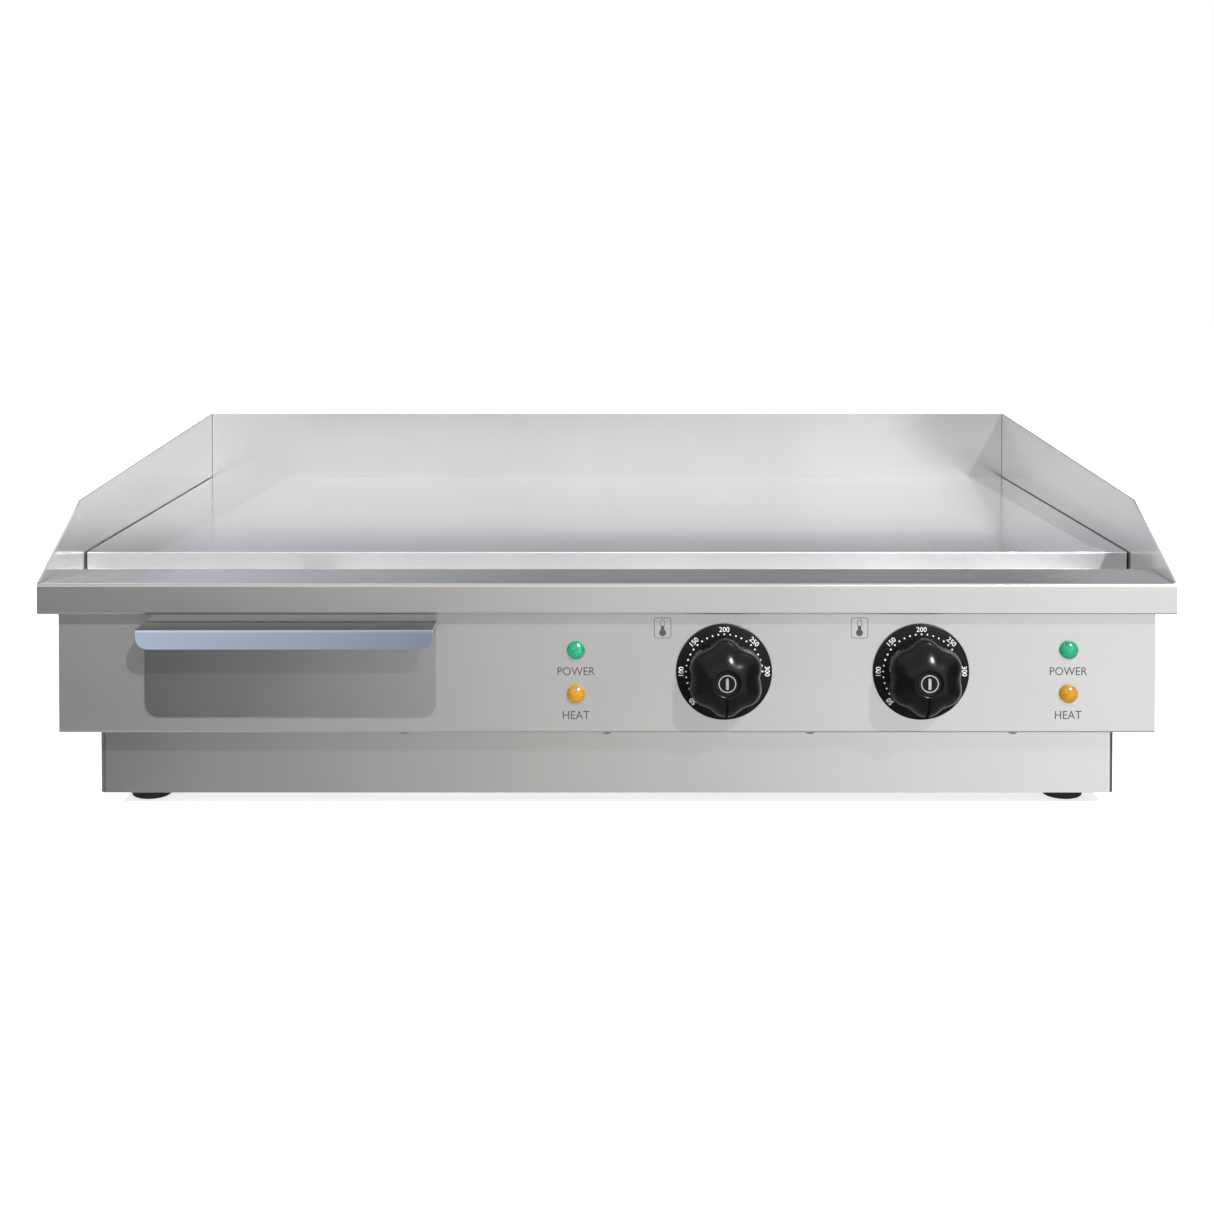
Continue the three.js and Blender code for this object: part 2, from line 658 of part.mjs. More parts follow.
function foot() {
  return turned([
    [FOOT_RECESS.radius, 0],
    [FOOT_RADIUS - 2, 0],
    [FOOT_RADIUS - 0.8, 1],
    [FOOT_RADIUS, footTop],
    [screwHole, footTop],
    [screwHole, FOOT_RECESS.depth],
    [FOOT_RECESS.radius, FOOT_RECESS.depth],
  ], 18);
}

// Pan head screw, head downwards, with the seat of its head at z = 0
function panScrew(shankLength) {
  return turned([
    [0, -SCREW.height],
    [SCREW.head * 0.55, -SCREW.height],
    [SCREW.head * 0.9, -SCREW.height * 0.65],
    [SCREW.head, -SCREW.height * 0.2],
    [SCREW.head, 0],
    [SCREW.shank, 0],
    [SCREW.shank, shankLength],
    [0, shankLength],
  ], 10);
}

place('base_casing', baseCasing(), SATIN_STEEL);
place('base_frame', baseFrame(), SATIN_STEEL);
for (const [corner, [x, y]] of Object.entries(footPlaces)) {
  place(`foot_${corner}`, foot(), BLACK_RUBBER, [x, y, 0]);
  place(`foot_screw_${corner}`, panScrew(footTop + FOOT_SCREW_LIFT), ZINC_STEEL,
    [x, y, FOOT_RECESS.depth - GAP]);
}
panelScrewXs.forEach((x, k) => {
  place(`panel_screw_${k + 1}`, panScrew(BODY_SHEET * 2 + 3), BRIGHT_STEEL,
    [x, panelScrewY, bodyBottom - GAP]);
});

// ---------------------------------------------------------------- grease drawer
function drawerTray() {
  const back = panelFace + TRAY_DEPTH;
  return cut(
    box(-trayHalf, trayHalf, panelFace, back, trayBottom, trayTop),
    box(TRAY_SHEET - trayHalf, trayHalf - TRAY_SHEET, panelFace + TRAY_SHEET, back - TRAY_SHEET,
      trayBottom + TRAY_SHEET, trayTop + CUT),
  );
}

function drawerFront() {
  const half = DRAWER_WIDTH / 2;
  const outline = roundedRect(-half, half, drawerBottom, drawerTop - BEND,
    [DRAWER_CORNER, DRAWER_CORNER, 0, 0], 6);
  const plate = prismY(outline, drawerFace, drawerFace + BODY_SHEET);
  const hook = prismX(sheetOutline([
    [drawerFace - HANDLE_REACH, drawerTop - HANDLE_DROP],
    [drawerFace - HANDLE_REACH, drawerTop],
    [drawerFace + BODY_SHEET, drawerTop],
    [drawerFace + BODY_SHEET, drawerTop - 2 * BODY_SHEET],
  ], BODY_SHEET, BEND), -half, half);
  const lipOutline = roundedRect(-half, half, drawerTop - HANDLE_DROP, drawerTop,
    [HANDLE_CORNER, HANDLE_CORNER, 0, 0], 6);
  const reach = prismY(lipOutline, drawerFace - HANDLE_REACH - CUT, drawerFace + BODY_SHEET + CUT);
  return union(plate, hook.intersect(reach));
}

function drawerRail(side) {
  const web = side * (trayHalf + RAIL_SIDE_CLEARANCE);
  const out = side * BODY_SHEET;
  const top = trayBottom - GAP;
  const span = (a, b) => [Math.min(a, b), Math.max(a, b)];
  const y0 = panelFace + RAIL_SETBACK;
  const y1 = y0 + RAIL_LENGTH;
  const foot0 = floorTop + GAP;
  return union(
    box(...span(web, web + out), y0, y1, foot0, trayBottom + RAIL_GUIDE),
    box(...span(web + out, web - side * RAIL_SHELF), y0, y1, top - BODY_SHEET, top),
    box(...span(web, web + side * RAIL_FOOT), y0, y1, foot0, foot0 + BODY_SHEET),
  );
}

place('drawer_tray', drawerTray(), SATIN_STEEL, [drawerX, 0, 0]);
place('drawer_front', drawerFront(), SATIN_STEEL, [drawerX, 0, 0]);
place('drawer_rail_left', drawerRail(-1), ZINC_STEEL, [drawerX, 0, 0]);
place('drawer_rail_right', drawerRail(1), ZINC_STEEL, [drawerX, 0, 0]);

// ---------------------------------------------------------------- controls
function dialPlate() {
  return turned([
    [dialBore, 0],
    [DIAL_RADIUS, 0],
    [DIAL_RADIUS, DIAL_THICKNESS - 0.6],
    [DIAL_RADIUS - 0.6, DIAL_THICKNESS],
    [dialBore, DIAL_THICKNESS],
  ], 40);
}

// Section of the D-shaped shaft: a circle with one flat
function shaftSection(radius, flat, sides = 20) {
  return Array.from({ length: sides }, (_, k) => {
    const angle = (k / sides) * 2 * Math.PI;
    return new THREE.Vector2(radius * Math.cos(angle), Math.max(-flat, radius * Math.sin(angle)));
  });
}

// Knob built along +Z from its back face, with its pointer towards -Y
function knob() {
  const outline = Array.from({ length: KNOB_LOBES * 6 }, (_, k) => {
    const angle = (k / (KNOB_LOBES * 6)) * 2 * Math.PI;
    const radius = KNOB_MEAN_RADIUS + KNOB_LOBE * Math.cos(KNOB_LOBES * (angle + Math.PI / 2));
    return new THREE.Vector2(radius * Math.cos(angle), radius * Math.sin(angle));
  });
  const bodyLength = KNOB_LENGTH - KNOB_NECK_LENGTH;
  const body = solid(new THREE.ExtrudeGeometry(new THREE.Shape(outline), {
    depth: bodyLength - 2 * KNOB_DOME,
    bevelThickness: KNOB_DOME,
    bevelSize: KNOB_DOME,
    bevelOffset: -KNOB_DOME,
    bevelSegments: 2,
    steps: 1,
  }).translate(0, 0, KNOB_NECK_LENGTH + KNOB_DOME));
  const neck = rod('z', 0, 0, KNOB_NECK_RADIUS, 0, KNOB_NECK_LENGTH + KNOB_DOME);
  const rear = prismZ(outline.map((p) => p.clone().multiplyScalar(0.97)), KNOB_NECK_LENGTH,
    KNOB_NECK_LENGTH + bodyLength / 2);
  const tip = KNOB_MEAN_RADIUS + KNOB_LOBE + KNOB_POINTER.overhang;
  const pointerHalf = KNOB_POINTER.width / 2;
  const pointerSide = [
    [-tip, KNOB_NECK_LENGTH + bodyLength / 3],
    [-tip, KNOB_LENGTH - KNOB_DOME],
    [-tip + KNOB_DOME, KNOB_LENGTH + KNOB_POINTER.proud],
    [-KNOB_POINTER.from, KNOB_LENGTH + KNOB_POINTER.proud],
    [-KNOB_POINTER.from, KNOB_NECK_LENGTH + bodyLength / 3],
  ].map(([y, z]) => new THREE.Vector2(y, z));
  const pointer = prismX(pointerSide, -pointerHalf, pointerHalf);
  const recess = rod('z', 0, 0, KNOB_RECESS.radius, KNOB_LENGTH - KNOB_RECESS.depth, KNOB_LENGTH + CUT, 24);
  const socket = prismZ(shaftSection(SHAFT_RADIUS + GAP, SHAFT_FLAT + GAP), -CUT, SHAFT_GRIP + GAP);
  return cut(union(body, neck, rear, pointer), recess, socket);
}

function thermostat() {
  const w = THERMOSTAT.width / 2;
  const h = THERMOSTAT.height / 2;
  const front = panelInner + GAP;
  const body = box(-w, w, front + THERMOSTAT.collar, front + THERMOSTAT.depth, -h, h);
  const collar = rod('y', 0, 0, SHAFT_RADIUS + 4, front, front + THERMOSTAT.collar + 1);
  const bore = rod('y', 0, 0, SHAFT_RADIUS + GAP, front - CUT, front + SHAFT_IN_BODY + GAP);
  return cut(union(body, collar), bore);
}

function shaft() {
  const section = shaftSection(SHAFT_RADIUS, SHAFT_FLAT);
  return prismY(section, knobBack - SHAFT_GRIP, panelInner + GAP + SHAFT_IN_BODY);
}

function lens() {
  const rings = 3;
  const dome = Array.from({ length: rings }, (_, k) => {
    const angle = ((k + 1) / rings) * (Math.PI / 2);
    return [LENS_RADIUS * Math.cos(angle), 0.6 + (LENS_DOME - 0.6) * Math.sin(angle)];
  });
  dome[rings - 1][0] = 0;
  const stem = -(GAP + BODY_SHEET);
  return turned([
    [0, stem],
    [LENS_STEM, stem],
    [LENS_STEM, 0],
    [LENS_RADIUS, 0],
    [LENS_RADIUS, 0.6],
    ...dome,
  ], 14);
}

for (const side of ['left', 'right']) {
  const x = dialX[side];
  place(`dial_plate_${side}`, dialPlate(), BLACK_SATIN, [x, dialBack, dialZ], FACING_FRONT);
  place(`knob_${side}`, knob(), BLACK_GLOSS, [x, knobBack, dialZ], FACING_FRONT);
  place(`knob_emblem_${side}`, rod('z', 0, 0, EMBLEM.radius, 0, EMBLEM.thickness), BRIGHT_STEEL,
    [x, knobFront + KNOB_RECESS.depth - GAP, dialZ], FACING_FRONT);
  place(`thermostat_shaft_${side}`, shaft(), ZINC_STEEL, [x, 0, dialZ]);
  place(`thermostat_${side}`, thermostat(), GREY_PLASTIC, [x, 0, dialZ]);
}
for (const [side, x] of [['left', leftLampX], ['right', rightLampX]]) {
  for (const [kind, z, look] of [['power', greenZ, GREEN_LENS], ['heat', amberZ, AMBER_LENS]]) {
    const holderFront = panelInner + GAP;
    place(`${kind}_lens_${side}`, lens(), look, [x, panelFace - GAP, z], FACING_FRONT);
    place(`${kind}_lamp_${side}`, rod('y', 0, 0, LENS_RADIUS, holderFront, holderFront + HOLDER_LENGTH, 16),
      GREY_PLASTIC, [x, 0, z]);
  }
}

// ---------------------------------------------------------------- heating
// One tubular heater: four legs joined by U-turns, with both ends turned down at the back
function heater() {
  const leg = HEATER_PITCH / 2;
  const xs = [-3 * leg, -leg, leg, 3 * leg];
  const front = heaterFront + HEATER_RADIUS + leg;
  const rear = heaterRear - HEATER_RADIUS - leg;
  const tail = rear + leg - HEATER_TAIL_BEND;
  const at = (x, y, z) => new THREE.Vector3(x, y, z);
  const arc = (x, y, way) => {
    const curve = new THREE.Curve();
    curve.getPoint = (t) => at(x - leg * Math.cos(Math.PI * t), y + way * leg * Math.sin(Math.PI * t), 0);
    return curve;
  };
  const corner = (x, towards) => {
    const flat = at(x, tail, 0);
    const low = at(x, tail + HEATER_TAIL_BEND, -HEATER_TAIL_BEND);
    const knee = at(x, tail + HEATER_TAIL_BEND, 0);
    return towards === 'in' ? new THREE.QuadraticBezierCurve3(low, knee, flat)
      : new THREE.QuadraticBezierCurve3(flat, knee, low);
  };
  const end = (x) => at(x, tail + HEATER_TAIL_BEND, -HEATER_TAIL);
  const knee = (x) => at(x, tail + HEATER_TAIL_BEND, -HEATER_TAIL_BEND);
  const route = new THREE.CurvePath();
  route.add(new THREE.LineCurve3(end(xs[0]), knee(xs[0])));
  route.add(corner(xs[0], 'in'));
  route.add(new THREE.LineCurve3(at(xs[0], tail, 0), at(xs[0], front, 0)));
  route.add(arc(xs[0] + leg, front, -1));
  route.add(new THREE.LineCurve3(at(xs[1], front, 0), at(xs[1], rear, 0)));
  route.add(arc(0, rear, 1));
  route.add(new THREE.LineCurve3(at(xs[2], rear, 0), at(xs[2], front, 0)));
  route.add(arc(xs[2] + leg, front, -1));
  route.add(new THREE.LineCurve3(at(xs[3], front, 0), at(xs[3], tail, 0)));
  route.add(corner(xs[3], 'out'));
  route.add(new THREE.LineCurve3(knee(xs[3]), end(xs[3])));
  return tube(route, HEATER_RADIUS, 64, 6);
}

function clampBar(y) {
  const reach = ZONE_OFFSET + HEATER_PITCH * 1.5 + CLAMP_END;
  const bar = box(-reach, reach, y - CLAMP_WIDTH / 2, y + CLAMP_WIDTH / 2, clampBottom, clampTop);
  return cut(bar, ...studXs.map((x) => rod('z', x, y, studHole, clampBottom - CUT, clampTop + CUT, 10)));
}

function clampNut() {
  const bore = rod('z', 0, 0, studHole, -CUT, STUD_NUT_HEIGHT + CUT, 10);
  return cut(prismZ(hexagon(STUD_NUT_FLATS), 0, STUD_NUT_HEIGHT), bore);
}

// Sensing bulb under the plate, and the capillary that runs back, down and forward to its thermostat
function sensor(side) {
  const x = zoneX[side] + HEATER_PITCH;
  const z = plateBottom - 2 * HEATER_PLATE_GAP - BULB.radius;
  const y0 = deckBack + BULB.front;
  const back = heaterRear - HEATER_RADIUS - HEATER_TAIL_BEND - 4;
  const low = z - CAPILLARY_DROP;
  const besideRail = drawerX + trayHalf + RAIL_SIDE_CLEARANCE + RAIL_FOOT + CAPILLARY_BESIDE_RAIL;
  const lowX = side === 'left' ? besideRail : x;
  const exit = panelInner + GAP + THERMOSTAT.depth + GAP;
  const route = new RoundedRoute([
    new THREE.Vector3(x, y0 + BULB.length - 2, z),
    new THREE.Vector3(x, back, z),
    new THREE.Vector3(x, back, low),
    new THREE.Vector3(lowX, exit + 90, low),
    new THREE.Vector3(dialX[side], exit + 40, low),
    new THREE.Vector3(dialX[side], exit, low),
  ], 14);
  const bulb = rod('y', x, z, BULB.radius, y0, y0 + BULB.length, 12);
  return union(bulb, solid(tube(route, CAPILLARY_RADIUS, 44, 5)));
}

function heatShield() {
  const half = bodyInner - GAP;
  const y0 = deckBack + INSULATION.front - BODY_SHEET - GAP;
  const y1 = bodyBackInner - INSULATION.rear + BODY_SHEET + GAP;
  return cut(
    box(-half, half, y0, y1, shieldTop - BODY_SHEET, shieldTop + SHIELD_LIP),
    box(BODY_SHEET - half, half - BODY_SHEET, y0 + BODY_SHEET, y1 - BODY_SHEET,
      shieldTop, shieldTop + SHIELD_LIP + CUT),
  );
}

const boardHalf = bodyInner - 2 * GAP - BODY_SHEET;
const board = box(-boardHalf, boardHalf, deckBack + INSULATION.front, bodyBackInner - INSULATION.rear,
  insulationBottom, insulationTop);
place('heater_left', heater(), HEATER_STEEL, [zoneX.left, 0, heaterZ]);
place('heater_right', heater(), HEATER_STEEL, [zoneX.right, 0, heaterZ]);
clampYs.forEach((y, k) => place(`heater_clamp_${['front', 'rear'][k]}`, clampBar(y), ZINC_STEEL));
studPlaces.forEach(([x, y], k) => place(`clamp_nut_${k + 1}`, clampNut(), ZINC_STEEL,
  [x, y, nutTop - STUD_NUT_HEIGHT]));
place('sensor_left', sensor('left'), BRIGHT_STEEL);
place('sensor_right', sensor('right'), BRIGHT_STEEL);
place('insulation_board', board, MINERAL_BOARD);
place('heat_shield', heatShield(), ZINC_STEEL);
place('thermal_cutout', rod('z', 0, 0, CUTOUT.radius, 0, CUTOUT.height), WHITE_CERAMIC,
  [0, deckBack + CUTOUT.place, seatTop - CUTOUT.height]);

// ---------------------------------------------------------------- electrical connection
function terminalBlock() {
  const w = TERMINAL.width / 2;
  const body = box(-w, w, 0, TERMINAL.depth, 0, TERMINAL.height);
  const pole = TERMINAL.width / TERMINAL.poles;
  const wells = Array.from({ length: TERMINAL.poles }, (_, k) => {
    const x = (k + 0.5) * pole - w;
    return box(x - pole * 0.3, x + pole * 0.3, TERMINAL.depth * 0.2, TERMINAL.depth * 0.8,
      TERMINAL.height * 0.55, TERMINAL.height + CUT);
  });
  return cut(body, ...wells);
}

// Cable gland built along +Z outwards, with the outside of the wall at z = 0
function cableGland() {
  const collarEnd = GAP + GLAND.collarLength;
  const end = collarEnd + GLAND.domeLength;
  const core = turned([
    [GLAND.bore, -GLAND.inside],
    [GLAND.thread, -GLAND.inside],
    [GLAND.thread, GAP],
    [GLAND.dome, GAP],
    [GLAND.dome, collarEnd + GLAND.domeLength * 0.6],
    [GLAND.dome - 3, end],
    [GLAND.bore, end],
  ], 16);
  const collar = cut(prismZ(hexagon(GLAND.collar * 2), GAP, collarEnd),
    rod('z', 0, 0, GLAND.dome - 1, GAP - CUT, collarEnd + CUT));
  return union(core, collar);
}

function earthBolt() {
  return turned([
    [0, -BODY_SHEET - GAP - EARTH.headLength],
    [EARTH.head, -BODY_SHEET - GAP - EARTH.headLength],
    [EARTH.head, -BODY_SHEET - GAP],
    [EARTH.shank, -BODY_SHEET - GAP],
    [EARTH.shank, GAP],
    [EARTH.washer, GAP],
    [EARTH.washer, GAP + 1.2],
    [EARTH.head, GAP + 1.2],
    [EARTH.head, GAP + 1.2 + EARTH.headLength],
    [EARTH.shank, GAP + 1.2 + EARTH.headLength],
    [EARTH.shank, EARTH.proud],
    [0, EARTH.proud],
  ], 12);
}

place('terminal_block', terminalBlock(), WHITE_CERAMIC,
  [serviceX + TERMINAL.shift, bodyBackInner - TERMINAL.setback, floorTop + GAP]);
place('cable_gland', cableGland(), BLACK_SATIN, [serviceX, baseBack, serviceZ], FACING_BACK);
place('earth_bolt', earthBolt(), BRIGHT_STEEL, [serviceX + EARTH.shift, baseBack, serviceZ], FACING_BACK);

export default model;
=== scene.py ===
"""Flat top griddle: looks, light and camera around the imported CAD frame. Metres, +X right, +Y back, +Z up."""
import json
import math

import bmesh
import bpy
from mathutils import Matrix, Vector


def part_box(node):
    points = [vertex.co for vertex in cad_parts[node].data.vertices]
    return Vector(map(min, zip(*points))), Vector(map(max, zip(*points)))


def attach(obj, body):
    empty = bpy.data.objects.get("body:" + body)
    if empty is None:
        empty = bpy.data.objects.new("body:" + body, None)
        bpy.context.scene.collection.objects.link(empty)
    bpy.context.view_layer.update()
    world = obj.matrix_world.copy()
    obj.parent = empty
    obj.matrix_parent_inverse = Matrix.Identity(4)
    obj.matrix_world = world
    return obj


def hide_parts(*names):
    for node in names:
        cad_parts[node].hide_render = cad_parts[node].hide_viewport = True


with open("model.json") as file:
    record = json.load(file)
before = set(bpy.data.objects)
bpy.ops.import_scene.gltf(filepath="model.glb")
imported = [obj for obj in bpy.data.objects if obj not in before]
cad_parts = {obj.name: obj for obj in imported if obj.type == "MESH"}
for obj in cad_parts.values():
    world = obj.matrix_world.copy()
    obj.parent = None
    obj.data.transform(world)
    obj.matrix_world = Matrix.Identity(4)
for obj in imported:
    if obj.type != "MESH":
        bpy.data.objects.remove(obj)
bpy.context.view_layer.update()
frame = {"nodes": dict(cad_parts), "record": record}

MM = 0.001
SLOT_OF = {part["node"]: part["material_slot"] for part in frame["record"]["subparts"]}
BODY_OF = {n: b for b, ns in frame["record"]["behaviour"]["bodies"].items() for n in ns}


def centre(node):
    low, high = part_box(node)
    return (low + high) / 2


def span_of(node):
    """The node's two X limits."""
    low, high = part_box(node)
    return low.x, high.x


# ------------------------------------------------------------------ camera
def make_camera():
    """Almost level, with the rest of the downward look as lens shift, so that upright edges stay upright."""
    ahead_of_lip = 1.1305
    height = 0.372
    focal_share = 1776 / 1214            # focal length over the frame's width
    horizon_rise = 365 / 1214            # horizon above the middle of the frame, over its width
    pitch = math.radians(1.5)
    data = bpy.data.cameras.new("camera")
    data.sensor_width = 36.0
    data.lens = data.sensor_width * focal_share
    data.shift_y = focal_share * math.tan(pitch) - horizon_rise
    camera = bpy.data.objects.new("camera", data)
    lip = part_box("front_deck")[0].y
    camera.location = (0.0, lip - ahead_of_lip, height)
    camera.rotation_euler = (math.radians(90) - pitch, 0.0, 0.0)
    bpy.context.scene.collection.objects.link(camera)
    bpy.context.scene.camera = camera


make_camera()


# ------------------------------------------------------------------ node helpers
class Shader:
    """A node tree with short calls for the nodes that the materials use."""

    def __init__(self, name):
        self.material = bpy.data.materials.new(name)
        self.material.use_nodes = True
        self.tree = self.material.node_tree
        self.bsdf = self.tree.nodes["Principled BSDF"]

    def node(self, kind, **settings):
        made = self.tree.nodes.new(kind)
        for key, value in settings.items():
            setattr(made, key, value)
        return made

    def link(self, source, target):
        self.tree.links.new(source, target)

    def place(self, scale):
        """Object coordinates, stretched by scale along each axis."""
        coordinates = self.node("ShaderNodeTexCoord")
        mapping = self.node("ShaderNodeMapping")
        mapping.inputs["Scale"].default_value = scale
        self.link(coordinates.outputs["Object"], mapping.inputs["Vector"])
        return mapping.outputs["Vector"]

    def noise(self, scale, detail=3.0, roughness=0.5):
        made = self.node("ShaderNodeTexNoise")
        made.inputs["Scale"].default_value = 1.0
        made.inputs["Detail"].default_value = detail
        made.inputs["Roughness"].default_value = roughness
        self.link(self.place(scale), made.inputs["Vector"])
        return made.outputs["Fac"]

    def spread(self, source, low, high, start=0.3, end=0.7):
        made = self.node("ShaderNodeMapRange")
        for key, value in (("From Min", start), ("From Max", end), ("To Min", low), ("To Max", high)):
            made.inputs[key].default_value = value
        self.link(source, made.inputs["Value"])
        return made.outputs["Result"]

    def tinted(self, factor, dark, light):
        made = self.node("ShaderNodeMix", data_type="RGBA")
        made.inputs["A"].default_value = (*dark, 1.0)
        made.inputs["B"].default_value = (*light, 1.0)
        self.link(factor, made.inputs["Factor"])
        return made.outputs["Result"]

    def tint(self, factor, colour, low, high):
        """Base colour that varies between two shares of one colour."""
        mixed = self.tinted(self.spread(factor, 0, 1), scaled(colour, low), scaled(colour, high))
        self.link(mixed, self.bsdf.inputs["Base Color"])

    def bump(self, height, strength, distance):
        made = self.node("ShaderNodeBump")
        made.inputs["Strength"].default_value = strength
        made.inputs["Distance"].default_value = distance
        self.link(height, made.inputs["Height"])
        self.link(made.outputs["Normal"], self.bsdf.inputs["Normal"])

    def set(self, **values):
        for key, value in values.items():
            self.bsdf.inputs[key.replace("_", " ")].default_value = value


def scaled(colour, factor):
    return tuple(min(1.0, c * factor) for c in colour)


def sheet_steel(name, colour, rough, metal, grain="X", grain_depth=0.0012):
    """Rolled sheet: fine grain along one axis, with faint cloudy patches in its colour and gloss."""
    s = Shader(name)
    fine, long = 2600.0, 18.0
    stretch = {"X": (long, fine, fine), "Y": (fine, long, fine), "Z": (fine, fine, long)}[grain]
    lines = s.noise(stretch, detail=2.0)
    clouds = s.noise((9.0, 9.0, 9.0), detail=4.0)
    s.tint(clouds, colour, 0.98, 1.02)
    mixed = s.node("ShaderNodeMath", operation="ADD")
    s.link(s.spread(lines, -0.005, 0.005), mixed.inputs[0])
    s.link(s.spread(clouds, rough - 0.015, rough + 0.02), mixed.inputs[1])
    s.link(mixed.outputs[0], s.bsdf.inputs["Roughness"])
    s.set(Metallic=metal)
    s.bump(lines, grain_depth, 0.0002)
    return s.material


def faded(material, span, left, right):
    """The material, with painted light and shade: its base colour multiplied by a slow change between the two X
    values of span, which stands in for how the studio's reflections brighten or dim along the piece.
    """
    tree = material.node_tree
    bsdf = tree.nodes["Principled BSDF"]
    source = bsdf.inputs["Base Color"].links[0].from_socket
    coordinates = tree.nodes.new("ShaderNodeTexCoord")
    split = tree.nodes.new("ShaderNodeSeparateXYZ")
    tree.links.new(coordinates.outputs["Object"], split.inputs[0])
    place = tree.nodes.new("ShaderNodeMapRange")
    place.inputs["From Min"].default_value, place.inputs["From Max"].default_value = span
    place.inputs["To Min"].default_value, place.inputs["To Max"].default_value = left, right
    tree.links.new(split.outputs["X"], place.inputs["Value"])
    dim = tree.nodes.new("ShaderNodeVectorMath")
    dim.operation = "SCALE"
    tree.links.new(source, dim.inputs[0])
    tree.links.new(place.outputs["Result"], dim.inputs["Scale"])
    tree.links.new(dim.outputs[0], bsdf.inputs["Base Color"])
    return material


def moulded(name, colour, rough, texture=1800.0, depth=0.05, gloss=0.5):
    """Moulded plastic or rubber: a fine orange-peel or spark texture and slightly uneven gloss."""
    s = Shader(name)
    peel = s.noise((texture,) * 3, detail=2.0)
    clouds = s.noise((60.0,) * 3, detail=3.0)
    s.tint(clouds, colour, 0.85, 1.15)
    s.link(s.spread(clouds, rough * 0.85, rough * 1.15), s.bsdf.inputs["Roughness"])
    s.set(Specular_IOR_Level=gloss)
    s.bump(peel, depth, 0.0002)
    return s.material


def cast_metal(name, colour, rough, depth=0.1):
    """Plated or heat-tinted metal with a mottled colour."""
    s = Shader(name)
    spots = s.noise((500.0,) * 3, detail=4.0, roughness=0.6)
    s.tint(spots, colour, 0.75, 1.2)
    s.link(s.spread(spots, rough * 0.8, rough * 1.2), s.bsdf.inputs["Roughness"])
    s.set(Metallic=1.0)
    s.bump(spots, depth, 0.0001)
    return s.material


def lamp_lens(name, deep, light):
    """Tinted lens with a glossy coat and fine facets."""
    s = Shader(name)
    facets = s.node("ShaderNodeTexVoronoi", feature="F1")
    facets.inputs["Scale"].default_value = 1.0
    s.link(s.place((620.0,) * 3), facets.inputs["Vector"])
    colour = s.tinted(s.spread(facets.outputs["Distance"], 0, 1, 0.05, 0.7), light, deep)
    s.link(colour, s.bsdf.inputs["Base Color"])
    s.link(colour, s.bsdf.inputs["Emission Color"])
    s.set(Emission_Strength=0.1, Roughness=0.1, Coat_Weight=0.8, Coat_Roughness=0.03)
    s.bump(facets.outputs["Distance"], 0.06, 0.0005)
    return s.material


def fibre_board(name, colour):
    """Pressed mineral fibre."""
    s = Shader(name)
    fibres = s.noise((700.0, 250.0, 700.0), detail=6.0, roughness=0.7)
    s.tint(fibres, colour, 0.7, 1.1)
    s.set(Roughness=0.95)
    s.bump(fibres, 0.5, 0.001)
    return s.material


def printed(name, colour):
    """Screen print: flat ink with a faint speckle."""
    s = Shader(name)
    speckle = s.noise((4000.0,) * 3, detail=2.0)
    s.tint(speckle, colour, 0.92, 1.06)
    s.set(Roughness=0.5)
    s.bump(speckle, 0.05, 0.0001)
    return s.material


STEEL = (0.70, 0.695, 0.69)
METAL = 0.9
LOOK = {
    "body_steel": sheet_steel("satin_sheet", STEEL, 0.17, METAL),
    "plate_steel": sheet_steel("ground_plate", (0.66, 0.665, 0.68), 0.15, 0.8, grain="Y", grain_depth=0.0015),
    # painted shade: the drawer's steel darkens towards its left end, for the darker reflections there
    "drawer_steel": faded(sheet_steel("drawer_sheet_painted_shade", (0.66, 0.663, 0.68), 0.2, 0.96),
                          span_of("drawer_front"), 0.68, 1.0),
    "emblem_chrome": cast_metal("emblem_metal", (0.8, 0.8, 0.8), 0.22, depth=0.02),
    "knob_black": moulded("knob_black", (0.003, 0.003, 0.0034), 0.2, texture=900.0, depth=0.006, gloss=0.24),
    "dial_black": moulded("dial_black", (0.003, 0.003, 0.0034), 0.33, depth=0.02, gloss=0.18),
    "lens_green": lamp_lens("lens_green", (0.005, 0.16, 0.078), (0.01, 0.25, 0.125)),
    "lens_amber": lamp_lens("lens_amber", (0.26, 0.12, 0.002), (0.35, 0.175, 0.004)),
    "zinc_steel": cast_metal("zinc_plate", (0.5, 0.52, 0.53), 0.4),
    "foot_rubber": moulded("foot_rubber", (0.011, 0.011, 0.011), 0.75, texture=1200.0, depth=0.25),
    "bright_steel": cast_metal("bright_steel", (0.68, 0.68, 0.68), 0.22, depth=0.03),
    "heater_steel": cast_metal("heater_sheath", (0.2, 0.17, 0.14), 0.45, depth=0.15),
    "grey_plastic": moulded("grey_plastic", (0.1, 0.1, 0.105), 0.55, depth=0.15),
    "white_ceramic": moulded("white_ceramic", (0.75, 0.72, 0.65), 0.35, texture=500.0, depth=0.08),
    "mineral_board": fibre_board("mineral_board", (0.65, 0.6, 0.5)),
    "gland_plastic": moulded("gland_nylon", (0.014, 0.014, 0.015), 0.45, depth=0.15),
}
LEFT_HALF = (span_of("front_deck")[0], 0.0)
# painted reflection: the handle lip's bluish tint stands in for the studio it reflects, and painted shade
# darkens it towards the right
HANDLE_LIP_PAINTED_REFLECTION = faded(sheet_steel("handle_lip_painted_reflection", (0.50, 0.585, 0.745), 0.22, 0.6),
                   span_of("drawer_front"), 0.68, 0.34)
# painted shade: dark steel for the handle's top, which lies in the shadow under the lip
SHADED_STEEL = sheet_steel("handle_top_painted_shade", (0.1, 0.105, 0.115), 0.3, METAL)
